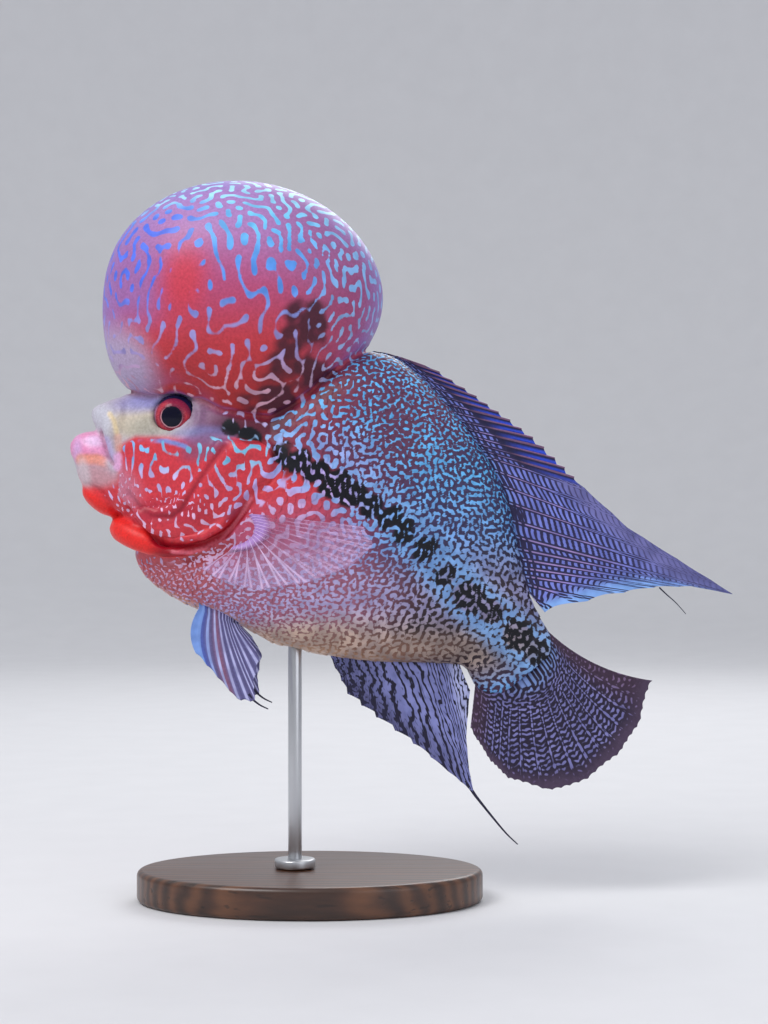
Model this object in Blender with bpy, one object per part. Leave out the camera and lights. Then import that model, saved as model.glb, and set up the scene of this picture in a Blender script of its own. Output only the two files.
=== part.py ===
"""A life-size flowerhorn cichlid, held by a plain display stand.

The fish faces -X with its nose up and its left side towards -Y. The origin is the middle of the
stand's underside. All sizes below are in millimetres, and MM turns them into Blender's metres.
"""

import math
from collections import namedtuple

import bmesh
import bpy
import numpy as np
from mathutils import Vector
from mathutils.bvhtree import BVHTree

MM = 0.001
GAP = 0.35  # left between two pieces that touch
SHARP_ANGLE = math.radians(50.0)  # edges that turn by more than this stay sharp
MERGE_DISTANCE = 0.00002  # corners this near each other are joined after a cut, in metres

# The trunk and the tail swing gently towards +Y behind this point
BEND_FROM = 20.0
BEND_TO = 188.0
BEND = 11.0

# A cross-section of the body: its top and bottom in the plane of symmetry, and half its width
Section = namedtuple("Section", "top bottom half_width")
# How full a cross-section is: 1 is an ellipse and less is squarer, above and below the middle,
# and sag over 1 lifts the widest place
Fullness = namedtuple("Fullness", "above below sag")
BODY_FULLNESS = Fullness(0.9, 0.9, 1.1)
HEAD_FULLNESS = Fullness(0.85, 0.55, 0.92)
# A fin ray: its root and its tip in the side view, and how far each stands out sideways
Ray = namedtuple("Ray", "root tip root_out tip_out", defaults=(0.0, 0.0))

BODY = (
    Section((-32.0, 214.0), (-74.5, 158.0), 9.0),
    Section((-26.5, 220.0), (-78.0, 152.0), 14.0),
    Section((-4.5, 233.0), (-70.5, 140.0), 20.5),
    Section((15.5, 240.5), (-53.0, 129.0), 26.5),
    Section((31.0, 241.0), (-33.0, 122.0), 29.0),
    Section((44.0, 234.0), (-12.5, 111.0), 28.0),
    Section((57.0, 221.5), (8.0, 107.5), 25.5),
    Section((70.5, 205.0), (26.5, 105.0), 21.0),
    Section((81.5, 188.0), (44.0, 104.5), 17.0),
    Section((88.5, 169.5), (57.0, 104.0), 13.5),
    Section((92.5, 149.5), (67.0, 103.5), 10.5),
    Section((97.0, 133.0), (69.5, 100.5), 8.0),
    Section((102.0, 123.0), (71.5, 96.5), 5.7),
    Section((105.5, 117.0), (75.0, 92.0), 3.8),
    Section((107.0, 109.0), (84.5, 90.5), 2.6),
)
TRUNK_ENDS = 9.4  # counted in sections; the tail stalk goes on from here
CURVE_STEPS = 20  # rows between two sections when the smooth curve through them is followed

HEAD = (
    Section((-85.5, 219.0), (-92.5, 179.5), 9.2),
    Section((-82.0, 222.0), (-90.5, 175.0), 12.3),
    Section((-72.5, 226.0), (-82.5, 170.0), 16.5),
    Section((-59.5, 230.0), (-71.5, 163.0), 20.7),
    Section((-44.0, 233.0), (-58.5, 158.0), 24.0),
    Section((-28.5, 233.0), (-45.5, 159.5), 25.8),
    Section((-15.5, 224.5), (-30.0, 170.0), 24.8),
    Section((-4.5, 211.5), (-14.0, 181.5), 20.5),
)
UPPER_JAW = (
    Section((-96.2, 214.8), (-95.4, 211.2), 1.8),
    Section((-94.2, 217.0), (-93.0, 206.0), 5.3),
    Section((-91.8, 218.2), (-90.5, 199.0), 7.6),
    Section((-88.8, 219.4), (-88.0, 192.0), 11.2),
    Section((-85.5, 220.6), (-85.0, 190.0), 13.2),
    Section((-81.5, 221.5), (-81.5, 191.5), 14.0),
)
LOWER_JAW = (
    Section((-105.2, 200.8), (-105.0, 196.4), 2.2),
    Section((-102.5, 204.4), (-103.2, 192.5), 5.9),
    Section((-98.0, 206.0), (-101.4, 185.5), 8.2),
    Section((-93.3, 206.3), (-98.5, 180.0), 10.0),
    Section((-87.0, 202.5), (-91.5, 175.5), 11.6),
    Section((-81.0, 196.0), (-83.5, 173.0), 12.0),
)
CHIN_PAD_AT = (-92.0, 0.0, 175.8)
CHIN_PAD_RADII = (10.0, 8.5, 4.6)
CHIN_PAD_TILT = math.radians(38.0)

# The hump on the forehead: an ellipse round this point, fuller below than above
KOK_AT = (-28.6, 264.0)
KOK_LONG = 62.3
KOK_ABOVE = 52.0
KOK_BELOW = 66.0
KOK_HALF_WIDTH = 39.0
KOK_TILT = math.radians(10.0)
KOK_BROW = (math.radians(210.0), math.radians(18.0), 2.5)  # bulge over the snout
KOK_NOTCH = (math.radians(243.0), math.radians(16.0), -10.0)  # over the eye
KOK_NAPE = (math.radians(325.0), math.radians(24.0), -6.0)
KOK_ROUNDNESS = 0.92  # 1 is an ellipse from front to back, and less is fuller
KOK_NARROWS = 0.12  # how much narrower the hump is at its foot

EYE_AT = (-57.9, 15.4, 212.6)
EYE_RADIUS = 9.3
EYE_HALF_DEPTH = 6.2

GILL_COVER = (
    (-38.7, 201.5), (-28.0, 200.8), (-17.6, 198.0), (-14.5, 191.4), (-17.6, 184.8), (-24.2, 179.5),
    (-30.8, 172.5), (-36.1, 165.9), (-44.9, 159.7), (-55.0, 157.0), (-63.8, 158.0), (-70.4, 161.5),
    (-77.5, 168.5), (-71.3, 172.0), (-66.0, 170.5), (-58.1, 173.0), (-52.8, 179.5), (-45.3, 189.2),
)
GILL_COVER_RAISED = 2.2
GILL_COVER_INNER = 4.0  # the two covers leave this strip free on each side of the throat
GILL_COVER_TRIM = 60.0  # how far out the trimming outline reaches, past the side of the head

# The roll of skin under the gill covers: x, y, z and radius, from the left side to the throat
GILL_ROLL = (
    (-24.0, -21.5, 176.5, 2.4),
    (-34.5, -21.0, 166.0, 2.8),
    (-48.0, -18.5, 157.5, 3.4),
    (-62.0, -16.0, 155.5, 4.4),
    (-74.0, -12.5, 159.0, 5.4),
    (-80.8, -6.5, 162.6, 5.8),
    (-82.4, 0.0, 163.6, 5.8),
)

DORSAL_FIN = (
    Ray((28.0, 241.5), (38.5, 239.0)),
    Ray((36.0, 239.5), (56.0, 233.0)),
    Ray((46.0, 232.0), (70.5, 223.5)),
    Ray((56.5, 222.0), (83.5, 214.5)),
    Ray((65.0, 212.0), (97.0, 205.0)),
    Ray((72.5, 202.5), (110.0, 193.0)),
    Ray((78.5, 194.5), (121.0, 181.5)),
    Ray((83.5, 185.0), (141.0, 163.5)),
    Ray((87.5, 173.5), (165.0, 148.5)),
    Ray((90.0, 161.5), (188.5, 134.0)),
    Ray((92.0, 153.0), (171.5, 137.5)),
    Ray((93.5, 146.5), (154.0, 137.5)),
    Ray((94.5, 141.0), (133.0, 134.0)),
    Ray((96.5, 135.0), (103.5, 126.5)),
)
CAUDAL_FIN = (
    Ray((105.0, 118.0), (151.5, 96.0)),
    Ray((107.0, 110.0), (144.5, 74.0)),
    Ray((105.0, 102.5), (131.0, 58.5)),
    Ray((99.5, 96.0), (111.0, 48.0)),
    Ray((90.0, 92.5), (89.0, 52.5)),
    Ray((81.5, 93.0), (78.5, 62.0)),
    Ray((73.0, 97.0), (70.5, 75.0)),
)
ANAL_FIN = (
    Ray((9.0, 107.5), (11.5, 102.0)),
    Ray((16.5, 106.0), (17.0, 90.0)),
    Ray((27.5, 105.0), (31.0, 79.0)),
    Ray((38.5, 104.5), (48.5, 66.5)),
    Ray((48.0, 104.5), (64.5, 53.5)),
    Ray((53.5, 104.0), (72.0, 47.0)),
    Ray((57.5, 104.0), (70.0, 57.0)),
    Ray((61.5, 103.5), (68.8, 72.0)),
    Ray((66.0, 103.0), (70.5, 92.0)),
)
ANAL_FILAMENT = ((69.5, 51.0), (75.0, 43.0), (81.0, 35.5), (86.5, 29.0), (91.5, 24.0))
PELVIC_FIN = (
    Ray((-48.0, 128.5), (-49.0, 109.5), 8.5, 15.0),
    Ray((-44.0, 126.5), (-40.0, 100.0), 9.0, 17.0),
    Ray((-40.0, 124.5), (-30.5, 89.5), 9.0, 18.0),
    Ray((-37.5, 123.5), (-23.0, 88.5), 8.5, 17.0),
    Ray((-35.5, 122.8), (-23.8, 96.5), 7.5, 15.0),
    Ray((-33.5, 122.0), (-21.6, 107.0), 7.0, 12.0),
    Ray((-31.5, 121.0), (-26.0, 115.5), 6.0, 8.0),
)
PELVIC_FILAMENT = ((-25.0, 90.5), (-21.0, 87.2), (-17.5, 85.5))
PELVIC_TIP_OUT = 17.0
PECTORAL_FIN = (
    Ray((-24.5, 170.0), (24.5, 164.5), 25.5, 34.0),
    Ray((-22.5, 167.0), (28.0, 156.0), 25.8, 36.5),
    Ray((-22.0, 163.5), (16.5, 146.5), 25.8, 39.0),
    Ray((-23.0, 160.0), (-4.5, 139.5), 25.5, 40.0),
    Ray((-26.5, 157.0), (-26.5, 138.0), 25.0, 38.5),
    Ray((-31.5, 155.0), (-46.0, 146.0), 23.8, 34.0),
)
FILAMENT_HALF = (0.9, 0.45)  # half-thickness at its start and its end

# How far the roots start inside the body, before the body is cut away: along, outwards, up
DORSAL_SINK = (-4.0, 0.0, -3.0)
CAUDAL_SINK = (-4.5, 0.0, 6.5)
ANAL_SINK = (0.0, 0.0, 4.5)
PELVIC_SINK = (0.0, -1.0, 5.0)
PECTORAL_SINK = (-1.0, -5.0, 0.0)
# A fin's half-thickness at its root and along its rim
ROOT_HALF = 1.1
PECTORAL_ROOT_HALF = 1.4
RIM_HALF = 0.4
DORSAL_NOTCH = 1.6  # between two spine tips
CAUDAL_BOW = 4.0
PELVIC_BOW = 3.0

BASE_LENGTH = 152.0
BASE_WIDTH = 108.0
BASE_HEIGHT = 14.0
BASE_EDGE = 3.0
ROD_AT = -6.6  # along X, under the belly
ROD_RADIUS = 3.0
ROD_TOP = 118.0  # about 7 mm inside the belly
COLLAR_RADIUS = 9.0
COLLAR_HEIGHT = 4.0
COLLAR_EDGE = 0.8


def clear_scene():
    for ob in list(bpy.data.objects):
        bpy.data.objects.remove(ob)


def principled(name, colour, roughness, metallic=0.0):
    material = bpy.data.materials.new(name)
    material.use_nodes = True
    shader = material.node_tree.nodes["Principled BSDF"]
    shader.inputs["Base Color"].default_value = (*colour, 1.0)
    shader.inputs["Roughness"].default_value = roughness
    shader.inputs["Metallic"].default_value = metallic
    material.diffuse_color = (*colour, 1.0)
    return material


def make_object(name, bm, material):
    """Turns a mesh in millimetres into a smooth-shaded object, and frees the mesh."""
    bmesh.ops.recalc_face_normals(bm, faces=bm.faces)
    if bm.calc_volume(signed=True) < 0:
        bmesh.ops.reverse_faces(bm, faces=bm.faces)
    for vert in bm.verts:
        vert.co *= MM
    mesh = bpy.data.meshes.new(name)
    bm.to_mesh(mesh)
    bm.free()
    mesh.materials.append(material)
    mesh.shade_smooth()
    mesh.set_sharp_from_angle(angle=SHARP_ANGLE)
    ob = bpy.data.objects.new(name, mesh)
    bpy.context.collection.objects.link(ob)
    return ob


def bend(x):
    """How far the body has swung sideways at this length."""
    return BEND * (max(x - BEND_FROM, 0.0) / (BEND_TO - BEND_FROM)) ** 2


def straight_rows(rows, steps):
    """Rows of numbers on straight lines between the given ones, with this many steps between."""
    whole = np.arange(len(rows))
    places = np.linspace(0, len(rows) - 1, (len(rows) - 1) * steps + 1)
    return np.stack([np.interp(places, whole, column) for column in np.array(rows, float).T], 1)


def smooth_rows(rows, steps):
    """Rows of numbers that pass smoothly through the given ones, with this many steps between."""
    rows = np.array(rows, float)
    ends = np.vstack([2 * rows[0] - rows[1], rows, 2 * rows[-1] - rows[-2]])
    found = []
    for before, start, end, after in zip(ends, ends[1:], ends[2:], ends[3:]):
        for t in np.arange(steps) / steps:
            cubic = 3 * start - before - 3 * end + after
            square = 2 * before - 5 * start + 4 * end - after
            found.append(start + 0.5 * t * (end - before + t * (square + t * cubic)))
    found.append(rows[-1])
    return np.array(found)


def loft(rings):
    """A closed mesh through rings of points, each end closed by a fan."""
    bm = bmesh.new()
    loops = [[bm.verts.new(point) for point in ring] for ring in rings]
    count = len(loops[0])
    for near, far in zip(loops, loops[1:]):
        for i in range(count):
            j = (i + 1) % count
            bm.faces.new((near[i], near[j], far[j], far[i]))
    for loop in (loops[0], loops[-1]):
        middle = bm.verts.new(sum((vert.co for vert in loop), Vector()) / count)
        for i in range(count):
            bm.faces.new((loop[i], loop[(i + 1) % count], middle))
    return bm


def section_ring(row, around, fullness, grow=0.0):
    """One cross-section as a ring of points."""
    top = Vector((row[0], 0.0, row[1]))
    bottom = Vector((row[2], 0.0, row[3]))
    down = (bottom - top).normalized()
    top -= down * grow
    bottom += down * grow
    ring = []
    for i in range(around):
        turn = 2 * math.pi * i / around
        share = (1 - math.cos(turn)) / 2
        point = top.lerp(bottom, share**fullness.sag)
        side = math.sin(turn)
        power = fullness.above if share < 0.5 else fullness.below
        point.y = (row[4] + grow) * math.copysign(abs(side) ** power, side) + bend(point.x)
        ring.append(point)
    return ring


def section_rows(sections):
    return [(*section.top, *section.bottom, section.half_width) for section in sections]


def body_loft(sections, around, steps, start=0.0, end=None, grow=0.0, fullness=BODY_FULLNESS):
    """A lofted part of the body. start and end are counted in sections."""
    rows = smooth_rows(section_rows(sections), CURVE_STEPS)
    end = len(sections) - 1 if end is None else end
    count = round((end - start) * steps) + 1
    places = np.linspace(start, end, count) * CURVE_STEPS
    whole = np.arange(len(rows))
    taken = np.stack([np.interp(places, whole, column) for column in rows.T], 1)
    return loft([section_ring(row, around, fullness, grow) for row in taken])


def kok_radius(turn):
    """The hump's outline, from its middle, in a direction of the side view."""
    along = math.cos(turn + KOK_TILT)
    up = math.sin(turn + KOK_TILT)
    height = KOK_ABOVE if up > 0 else KOK_BELOW
    radius = 1 / math.hypot(along / KOK_LONG, up / height)
    for at, spread, bulge in (KOK_BROW, KOK_NOTCH, KOK_NAPE):
        off = (turn - at + math.pi) % (2 * math.pi) - math.pi
        radius += bulge * math.exp(-((off / spread) ** 2))
    return radius


def kok_mesh(around=32, across=14):
    """The hump, as rings that grow from its left side to its middle and shrink to its right."""
    bm = bmesh.new()
    rings = []
    for j in range(1, across):
        tilt = math.pi * j / across - math.pi / 2
        ring = []
        for i in range(around):
            turn = 2 * math.pi * i / around
            reach = math.cos(tilt) ** KOK_ROUNDNESS
            radius = kok_radius(turn) * reach
            narrow = 1 - KOK_NARROWS * max(-math.sin(turn), 0.0) * reach
            ring.append(
                bm.verts.new(
                    (
                        KOK_AT[0] + radius * math.cos(turn),
                        KOK_HALF_WIDTH * math.sin(tilt) * narrow,
                        KOK_AT[1] + radius * math.sin(turn),
                    )
                )
            )
        rings.append(ring)
    for near, far in zip(rings, rings[1:]):
        for i in range(around):
            j = (i + 1) % around
            bm.faces.new((near[i], near[j], far[j], far[i]))
    for ring, side in ((rings[0], -1), (rings[-1], 1)):
        pole = bm.verts.new((KOK_AT[0], side * KOK_HALF_WIDTH, KOK_AT[1]))
        for i in range(around):
            bm.faces.new((ring[i], ring[(i + 1) % around], pole))
    return bm


def ball(at, radii, tilt=0.0, segments=12, rings=7):
    """An ellipsoid, tilted about Y."""
    bm = bmesh.new()
    bmesh.ops.create_uvsphere(bm, u_segments=segments, v_segments=rings, radius=1.0)
    for vert in bm.verts:
        x, y, z = (vert.co[k] * radii[k] for k in range(3))
        vert.co = (
            at[0] + x * math.cos(tilt) + z * math.sin(tilt),
            at[1] + y,
            at[2] - x * math.sin(tilt) + z * math.cos(tilt),
        )
    return bm


def eye_mesh(side):
    """An eyeball, flatter than a sphere, with its poles out to the side."""
    bm = bmesh.new()
    bmesh.ops.create_uvsphere(bm, u_segments=16, v_segments=7, radius=1.0)
    for vert in bm.verts:
        x, y, z = vert.co
        vert.co = (
            EYE_AT[0] + x * EYE_RADIUS,
            side * (EYE_AT[1] + z * EYE_HALF_DEPTH),
            EYE_AT[2] + y * EYE_RADIUS,
        )
    return bm


def gill_roll_mesh(around=8, steps=2):
    """A tube that narrows towards both ends, round under the throat."""
    half = smooth_rows(GILL_ROLL, steps)
    mirrored = half[-2::-1] * np.array((1, -1, 1, 1))
    path = np.vstack([half, mirrored]).tolist()
    rings = []
    for i, (x, y, z, radius) in enumerate(path):
        ahead = Vector(path[min(i + 1, len(path) - 1)][:3])
        behind = Vector(path[max(i - 1, 0)][:3])
        along = (ahead - behind).normalized()
        out = Vector((0.0, 0.0, 1.0)).cross(along).normalized()
        up = along.cross(out)
        middle = Vector((x, y, z))
        turns = [2 * math.pi * k / around for k in range(around)]
        rings.append([middle + radius * (out * math.cos(t) + up * math.sin(t)) for t in turns])
    return loft(rings)


def prism(outline, near, far):
    """A side-view outline extruded along Y."""
    bm = bmesh.new()
    face = bm.faces.new([bm.verts.new((x, near, z)) for x, z in outline])
    moved = bmesh.ops.extrude_face_region(bm, geom=[face])["geom"]
    for vert in moved:
        if isinstance(vert, bmesh.types.BMVert):
            vert.co.y = far
    return bm


def fin_mesh(rays, steps, rows, sink, side=1, root_half=ROOT_HALF, notch=0.0, bow=0.0, round_rim=False):
    """A fin as a thin closed sheet of rays side by side.

    sink moves the roots into the body, notch pulls in every second column of the rim, bow swells
    the first ray forwards, and round_rim joins the tips by a curve instead of straight lines.
    """
    roots = smooth_rows([(*r.root, r.root_out) for r in rays], steps)
    rim_rows = smooth_rows if round_rim else straight_rows
    tips = rim_rows([(*r.tip, r.tip_out) for r in rays], steps)
    last = len(roots) - 1
    bm = bmesh.new()
    sheets = ([], [])
    for i, (near, far) in enumerate(zip(roots.tolist(), tips.tolist())):
        root = Vector((near[0], near[2], near[1]))
        tip = Vector((far[0], far[2], far[1]))
        along = tip - root
        if i % 2 and notch:
            tip -= along.normalized() * min(notch, 0.3 * along.length)
        ahead = Vector((along.z, 0.0, -along.x)).normalized()
        swell = bow * (1 - i / last) ** 2
        middles = [root + Vector(sink)]
        for j in range(rows + 1):
            share = j / rows
            middles.append(root.lerp(tip, share) + ahead * swell * 4 * share * (1 - share))
        pair = ([], [])
        for j, middle in enumerate(middles):
            half = root_half + (RIM_HALF - root_half) * (max(j - 1, 0) / rows) ** 0.7
            for column, sign in zip(pair, (-1, 1)):
                y = side * middle.y + sign * half + bend(middle.x)
                column.append(bm.verts.new((middle.x, y, middle.z)))
        for sheet, column in zip(sheets, pair):
            sheet.append(column)
    rim = rows + 1
    for sheet in sheets:
        for near, far in zip(sheet, sheet[1:]):
            for j in range(rim):
                bm.faces.new((near[j], far[j], far[j + 1], near[j + 1]))
    left, right = sheets
    for i in range(last):
        for j in (0, rim):
            bm.faces.new((left[i][j], left[i + 1][j], right[i + 1][j], right[i][j]))
    for j in range(rim):
        for i in (0, last):
            bm.faces.new((left[i][j], left[i][j + 1], right[i][j + 1], right[i][j]))
    return bm


def filament_mesh(points, out=0.0, around=4):
    """A thread that trails from a fin's tip: a tube that tapers towards its end."""
    path = smooth_rows(points, 1).tolist()
    rings = []
    for i, (x, z) in enumerate(path):
        ahead = path[min(i + 1, len(path) - 1)]
        behind = path[max(i - 1, 0)]
        along = Vector((ahead[0] - behind[0], 0.0, ahead[1] - behind[1])).normalized()
        across = Vector((along.z, 0.0, -along.x))
        thick, thin = FILAMENT_HALF
        half = thick + (thin - thick) * i / (len(path) - 1)
        middle = Vector((x, out + bend(x), z))
        turns = [2 * math.pi * k / around for k in range(around)]
        aside = Vector((0.0, 1.0, 0.0))
        rings.append([middle + half * (across * math.cos(t) + aside * math.sin(t)) for t in turns])
    return loft(rings)


def cylinder(x, low, high, radius, segments=12, edge=0.0):
    """An upright round bar centred on Y, with its rims bevelled by edge."""
    bm = bmesh.new()
    bmesh.ops.create_cone(
        bm, cap_ends=True, segments=segments, radius1=radius, radius2=radius, depth=high - low
    )
    bmesh.ops.translate(bm, verts=bm.verts, vec=(x, 0.0, (low + high) / 2))
    if edge:
        rims = [e for e in bm.edges if abs(e.verts[0].co.z - e.verts[1].co.z) < 1e-6]
        bmesh.ops.bevel(bm, geom=rims, offset=edge, segments=2, affect="EDGES", profile=0.5)
    return bm


def base_mesh(segments=32):
    """The foot: a flat oval plate with a softened top edge."""
    rings = [(0.0, 0.0)]
    for turn in (0.0, 30.0, 60.0, 90.0):
        inset = BASE_EDGE * (1 - math.cos(math.radians(turn)))
        rings.append((inset, BASE_HEIGHT - BASE_EDGE * (1 - math.sin(math.radians(turn)))))
    turns = [2 * math.pi * i / segments for i in range(segments)]
    return loft(
        [
            [
                Vector(
                    (
                        (BASE_LENGTH / 2 - inset) * math.cos(t),
                        (BASE_WIDTH / 2 - inset) * math.sin(t),
                        height,
                    )
                )
                for t in turns
            ]
            for inset, height in rings
        ]
    )


def hide_as_cutter(ob):
    ob.hide_render = True
    ob.display_type = "WIRE"


def swollen(ob):
    """A hidden cutter: the object's shape moved outwards by the gap."""
    bm = bmesh.new()
    bm.from_mesh(ob.data)
    bm.normal_update()
    moves = [vert.normal * GAP * MM for vert in bm.verts]
    for vert, move in zip(bm.verts, moves):
        vert.co += move
    mesh = bpy.data.meshes.new(ob.name + "_clearance")
    bm.to_mesh(mesh)
    bm.free()
    cutter = bpy.data.objects.new(mesh.name, mesh)
    bpy.context.collection.objects.link(cutter)
    hide_as_cutter(cutter)
    return cutter


def surface_tree(ob):
    mesh = ob.data
    corners = [vert.co for vert in mesh.vertices]
    return BVHTree.FromPolygons(corners, [tuple(face.vertices) for face in mesh.polygons])


def apply_booleans(ob):
    """Makes the modifiers' result the object's own mesh, and keeps its largest body."""
    graph = bpy.context.evaluated_depsgraph_get()
    mesh = bpy.data.meshes.new_from_object(ob.evaluated_get(graph))
    ob.modifiers.clear()
    bm = bmesh.new()
    bm.from_mesh(mesh)
    bmesh.ops.remove_doubles(bm, verts=bm.verts, dist=MERGE_DISTANCE)
    bmesh.ops.dissolve_degenerate(bm, edges=bm.edges, dist=MERGE_DISTANCE)
    bodies = []
    unseen = set(bm.verts)
    while unseen:
        body = set()
        reached = [unseen.pop()]
        while reached:
            vert = reached.pop()
            body.add(vert)
            for edge in vert.link_edges:
                other = edge.other_vert(vert)
                if other in unseen:
                    unseen.remove(other)
                    reached.append(other)
        bodies.append(body)
    bodies.sort(key=len, reverse=True)
    for body in bodies[1:]:
        bmesh.ops.delete(bm, geom=list(body), context="VERTS")
    bm.to_mesh(mesh)
    bm.free()
    mesh.set_sharp_from_angle(angle=SHARP_ANGLE)
    ob.data = mesh


def cut_away(piece, cutters, operation="DIFFERENCE"):
    for cutter in cutters:
        boolean = piece.modifiers.new(cutter.name, "BOOLEAN")
        boolean.operation = operation
        boolean.solver = "EXACT"
        boolean.object = cutter
    apply_booleans(piece)


def offset_outline(outline, distance):
    """A closed side-view outline with every corner moved outwards."""
    count = len(outline)
    moved = []
    for i, (x, z) in enumerate(outline):
        ahead = outline[(i + 1) % count]
        behind = outline[i - 1]
        along = Vector((ahead[0] - behind[0], ahead[1] - behind[1])).normalized()
        moved.append((x - along.y * distance, z + along.x * distance))
    return moved


def head_mesh(grow=0.0):
    return body_loft(HEAD, 22, 2, grow=grow, fullness=HEAD_FULLNESS)


def mirrored(ob, name):
    """A copy of the object on the fish's other side."""
    bm = bmesh.new()
    bm.from_mesh(ob.data)
    for vert in bm.verts:
        vert.co.y *= -1
    bmesh.ops.reverse_faces(bm, faces=bm.faces)
    mesh = bpy.data.meshes.new(name)
    bm.to_mesh(mesh)
    bm.free()
    mesh.materials.append(ob.data.materials[0])
    mesh.set_sharp_from_angle(angle=SHARP_ANGLE)
    twin = bpy.data.objects.new(name, mesh)
    bpy.context.collection.objects.link(twin)
    return twin


def make_gill_covers(material):
    """Shells over the cheeks: the head grown outwards, trimmed to the cover's outline.

    Returns each shell with its cutter, which is the same shape with the gap all round.
    """
    made = []
    for suffix, room in (("", 0.0), ("_clearance", GAP)):
        cover = make_object(
            "gill_cover_left" + suffix, head_mesh(GAP + GILL_COVER_RAISED + room), material
        )
        outline = prism(offset_outline(GILL_COVER, room), room - GILL_COVER_INNER, -GILL_COVER_TRIM)
        trimmer = make_object("gill_cover_outline", outline, material)
        cut_away(cover, [trimmer], "INTERSECT")
        bpy.data.objects.remove(trimmer)
        made.append(cover)
    inside = make_object("gill_cover_inside", head_mesh(1.25 * GAP), material)
    cut_away(made[0], [inside])
    bpy.data.objects.remove(inside)
    pairs = {made[0]: made[1]}
    pairs[mirrored(made[0], "gill_cover_right")] = mirrored(made[1], "gill_cover_right_clearance")
    for cutter in pairs.values():
        hide_as_cutter(cutter)
    return pairs


def make_fin(name, mesh, material, filament=None):
    ob = make_object(name, mesh, material)
    if filament:
        thread = make_object(name + "_filament", filament, material)
        cut_away(ob, [thread], "UNION")
        bpy.data.objects.remove(thread)
    return ob


def build_fish():
    """The fish's parts, each one giving way to those before it in the list."""
    red = principled("red_skin", (0.62, 0.07, 0.06), 0.4)
    pale = principled("pale_lip", (0.72, 0.42, 0.45), 0.35)
    blue = principled("blue_flank", (0.16, 0.2, 0.33), 0.4)
    fin = principled("fin_membrane", (0.2, 0.18, 0.32), 0.45)
    clear = principled("pectoral_membrane", (0.6, 0.4, 0.5), 0.45)
    eye = principled("eye", (0.02, 0.01, 0.03), 0.08)

    covers = make_gill_covers(red)
    pieces = [
        make_object("eye_left", eye_mesh(-1), eye),
        make_object("eye_right", eye_mesh(1), eye),
        make_object("upper_jaw", body_loft(UPPER_JAW, 16, 1), pale),
        make_object("lower_jaw", body_loft(LOWER_JAW, 16, 1), pale),
        make_object("head", head_mesh(), red),
        *covers,
        make_object("chin_pad", ball(CHIN_PAD_AT, CHIN_PAD_RADII, CHIN_PAD_TILT), red),
        make_object("gill_roll", gill_roll_mesh(), red),
        make_object("trunk", body_loft(BODY, 22, 2, 0.0, TRUNK_ENDS), blue),
        make_object("kok", kok_mesh(), red),
        make_object("tail_stalk", body_loft(BODY, 20, 2, TRUNK_ENDS, None), blue),
        make_fin("dorsal_fin", fin_mesh(DORSAL_FIN, 3, 2, DORSAL_SINK, notch=DORSAL_NOTCH), fin),
        make_fin(
            "caudal_fin", fin_mesh(CAUDAL_FIN, 3, 3, CAUDAL_SINK, bow=CAUDAL_BOW, round_rim=True), fin
        ),
        make_fin(
            "anal_fin", fin_mesh(ANAL_FIN, 2, 3, ANAL_SINK), fin, filament_mesh(ANAL_FILAMENT)
        ),
    ]
    for side, name in ((-1, "left"), (1, "right")):
        pelvic = fin_mesh(PELVIC_FIN, 2, 3, PELVIC_SINK, side, bow=PELVIC_BOW)
        thread = filament_mesh(PELVIC_FILAMENT, side * PELVIC_TIP_OUT)
        pectoral = fin_mesh(PECTORAL_FIN, 3, 2, PECTORAL_SINK, side, PECTORAL_ROOT_HALF, round_rim=True)
        pieces.append(make_fin("pelvic_fin_" + name, pelvic, fin, thread))
        pieces.append(make_fin("pectoral_fin_" + name, pectoral, clear))
    return pieces, covers


def build_stand():
    walnut = principled("stand_wood", (0.09, 0.045, 0.025), 0.35)
    steel = principled("stand_steel", (0.6, 0.6, 0.6), 0.3, 1.0)
    rod_foot = BASE_HEIGHT / 2
    rod = make_object("stand_rod", cylinder(ROD_AT, rod_foot, ROD_TOP, ROD_RADIUS), steel)
    collar_top = BASE_HEIGHT + GAP + COLLAR_HEIGHT
    collar = make_object(
        "stand_collar",
        cylinder(ROD_AT, BASE_HEIGHT + GAP, collar_top, COLLAR_RADIUS, 20, COLLAR_EDGE),
        steel,
    )
    base = make_object("stand_base", base_mesh(), walnut)
    return [rod, collar, base]


def fit_together(pieces, ready_cutters):
    """Cuts each piece by the earlier ones that reach into it, and leaves the gap between them."""
    cutters = [ready_cutters.get(piece) or swollen(piece) for piece in pieces]
    for i, piece in enumerate(pieces):
        own = surface_tree(piece)
        touching = [cutter for cutter in cutters[:i] if own.overlap(surface_tree(cutter))]
        if touching:
            cut_away(piece, touching)
    for cutter in cutters:
        bpy.data.objects.remove(cutter)


clear_scene()
stand = build_stand()
fish, own_cutters = build_fish()
fit_together(stand + fish, own_cutters)
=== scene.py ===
"""The looks of a life-size flowerhorn cichlid on its display stand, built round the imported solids."""

import math

import bmesh
import bpy
import numpy as np
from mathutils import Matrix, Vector
from mathutils.bvhtree import BVHTree


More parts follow.
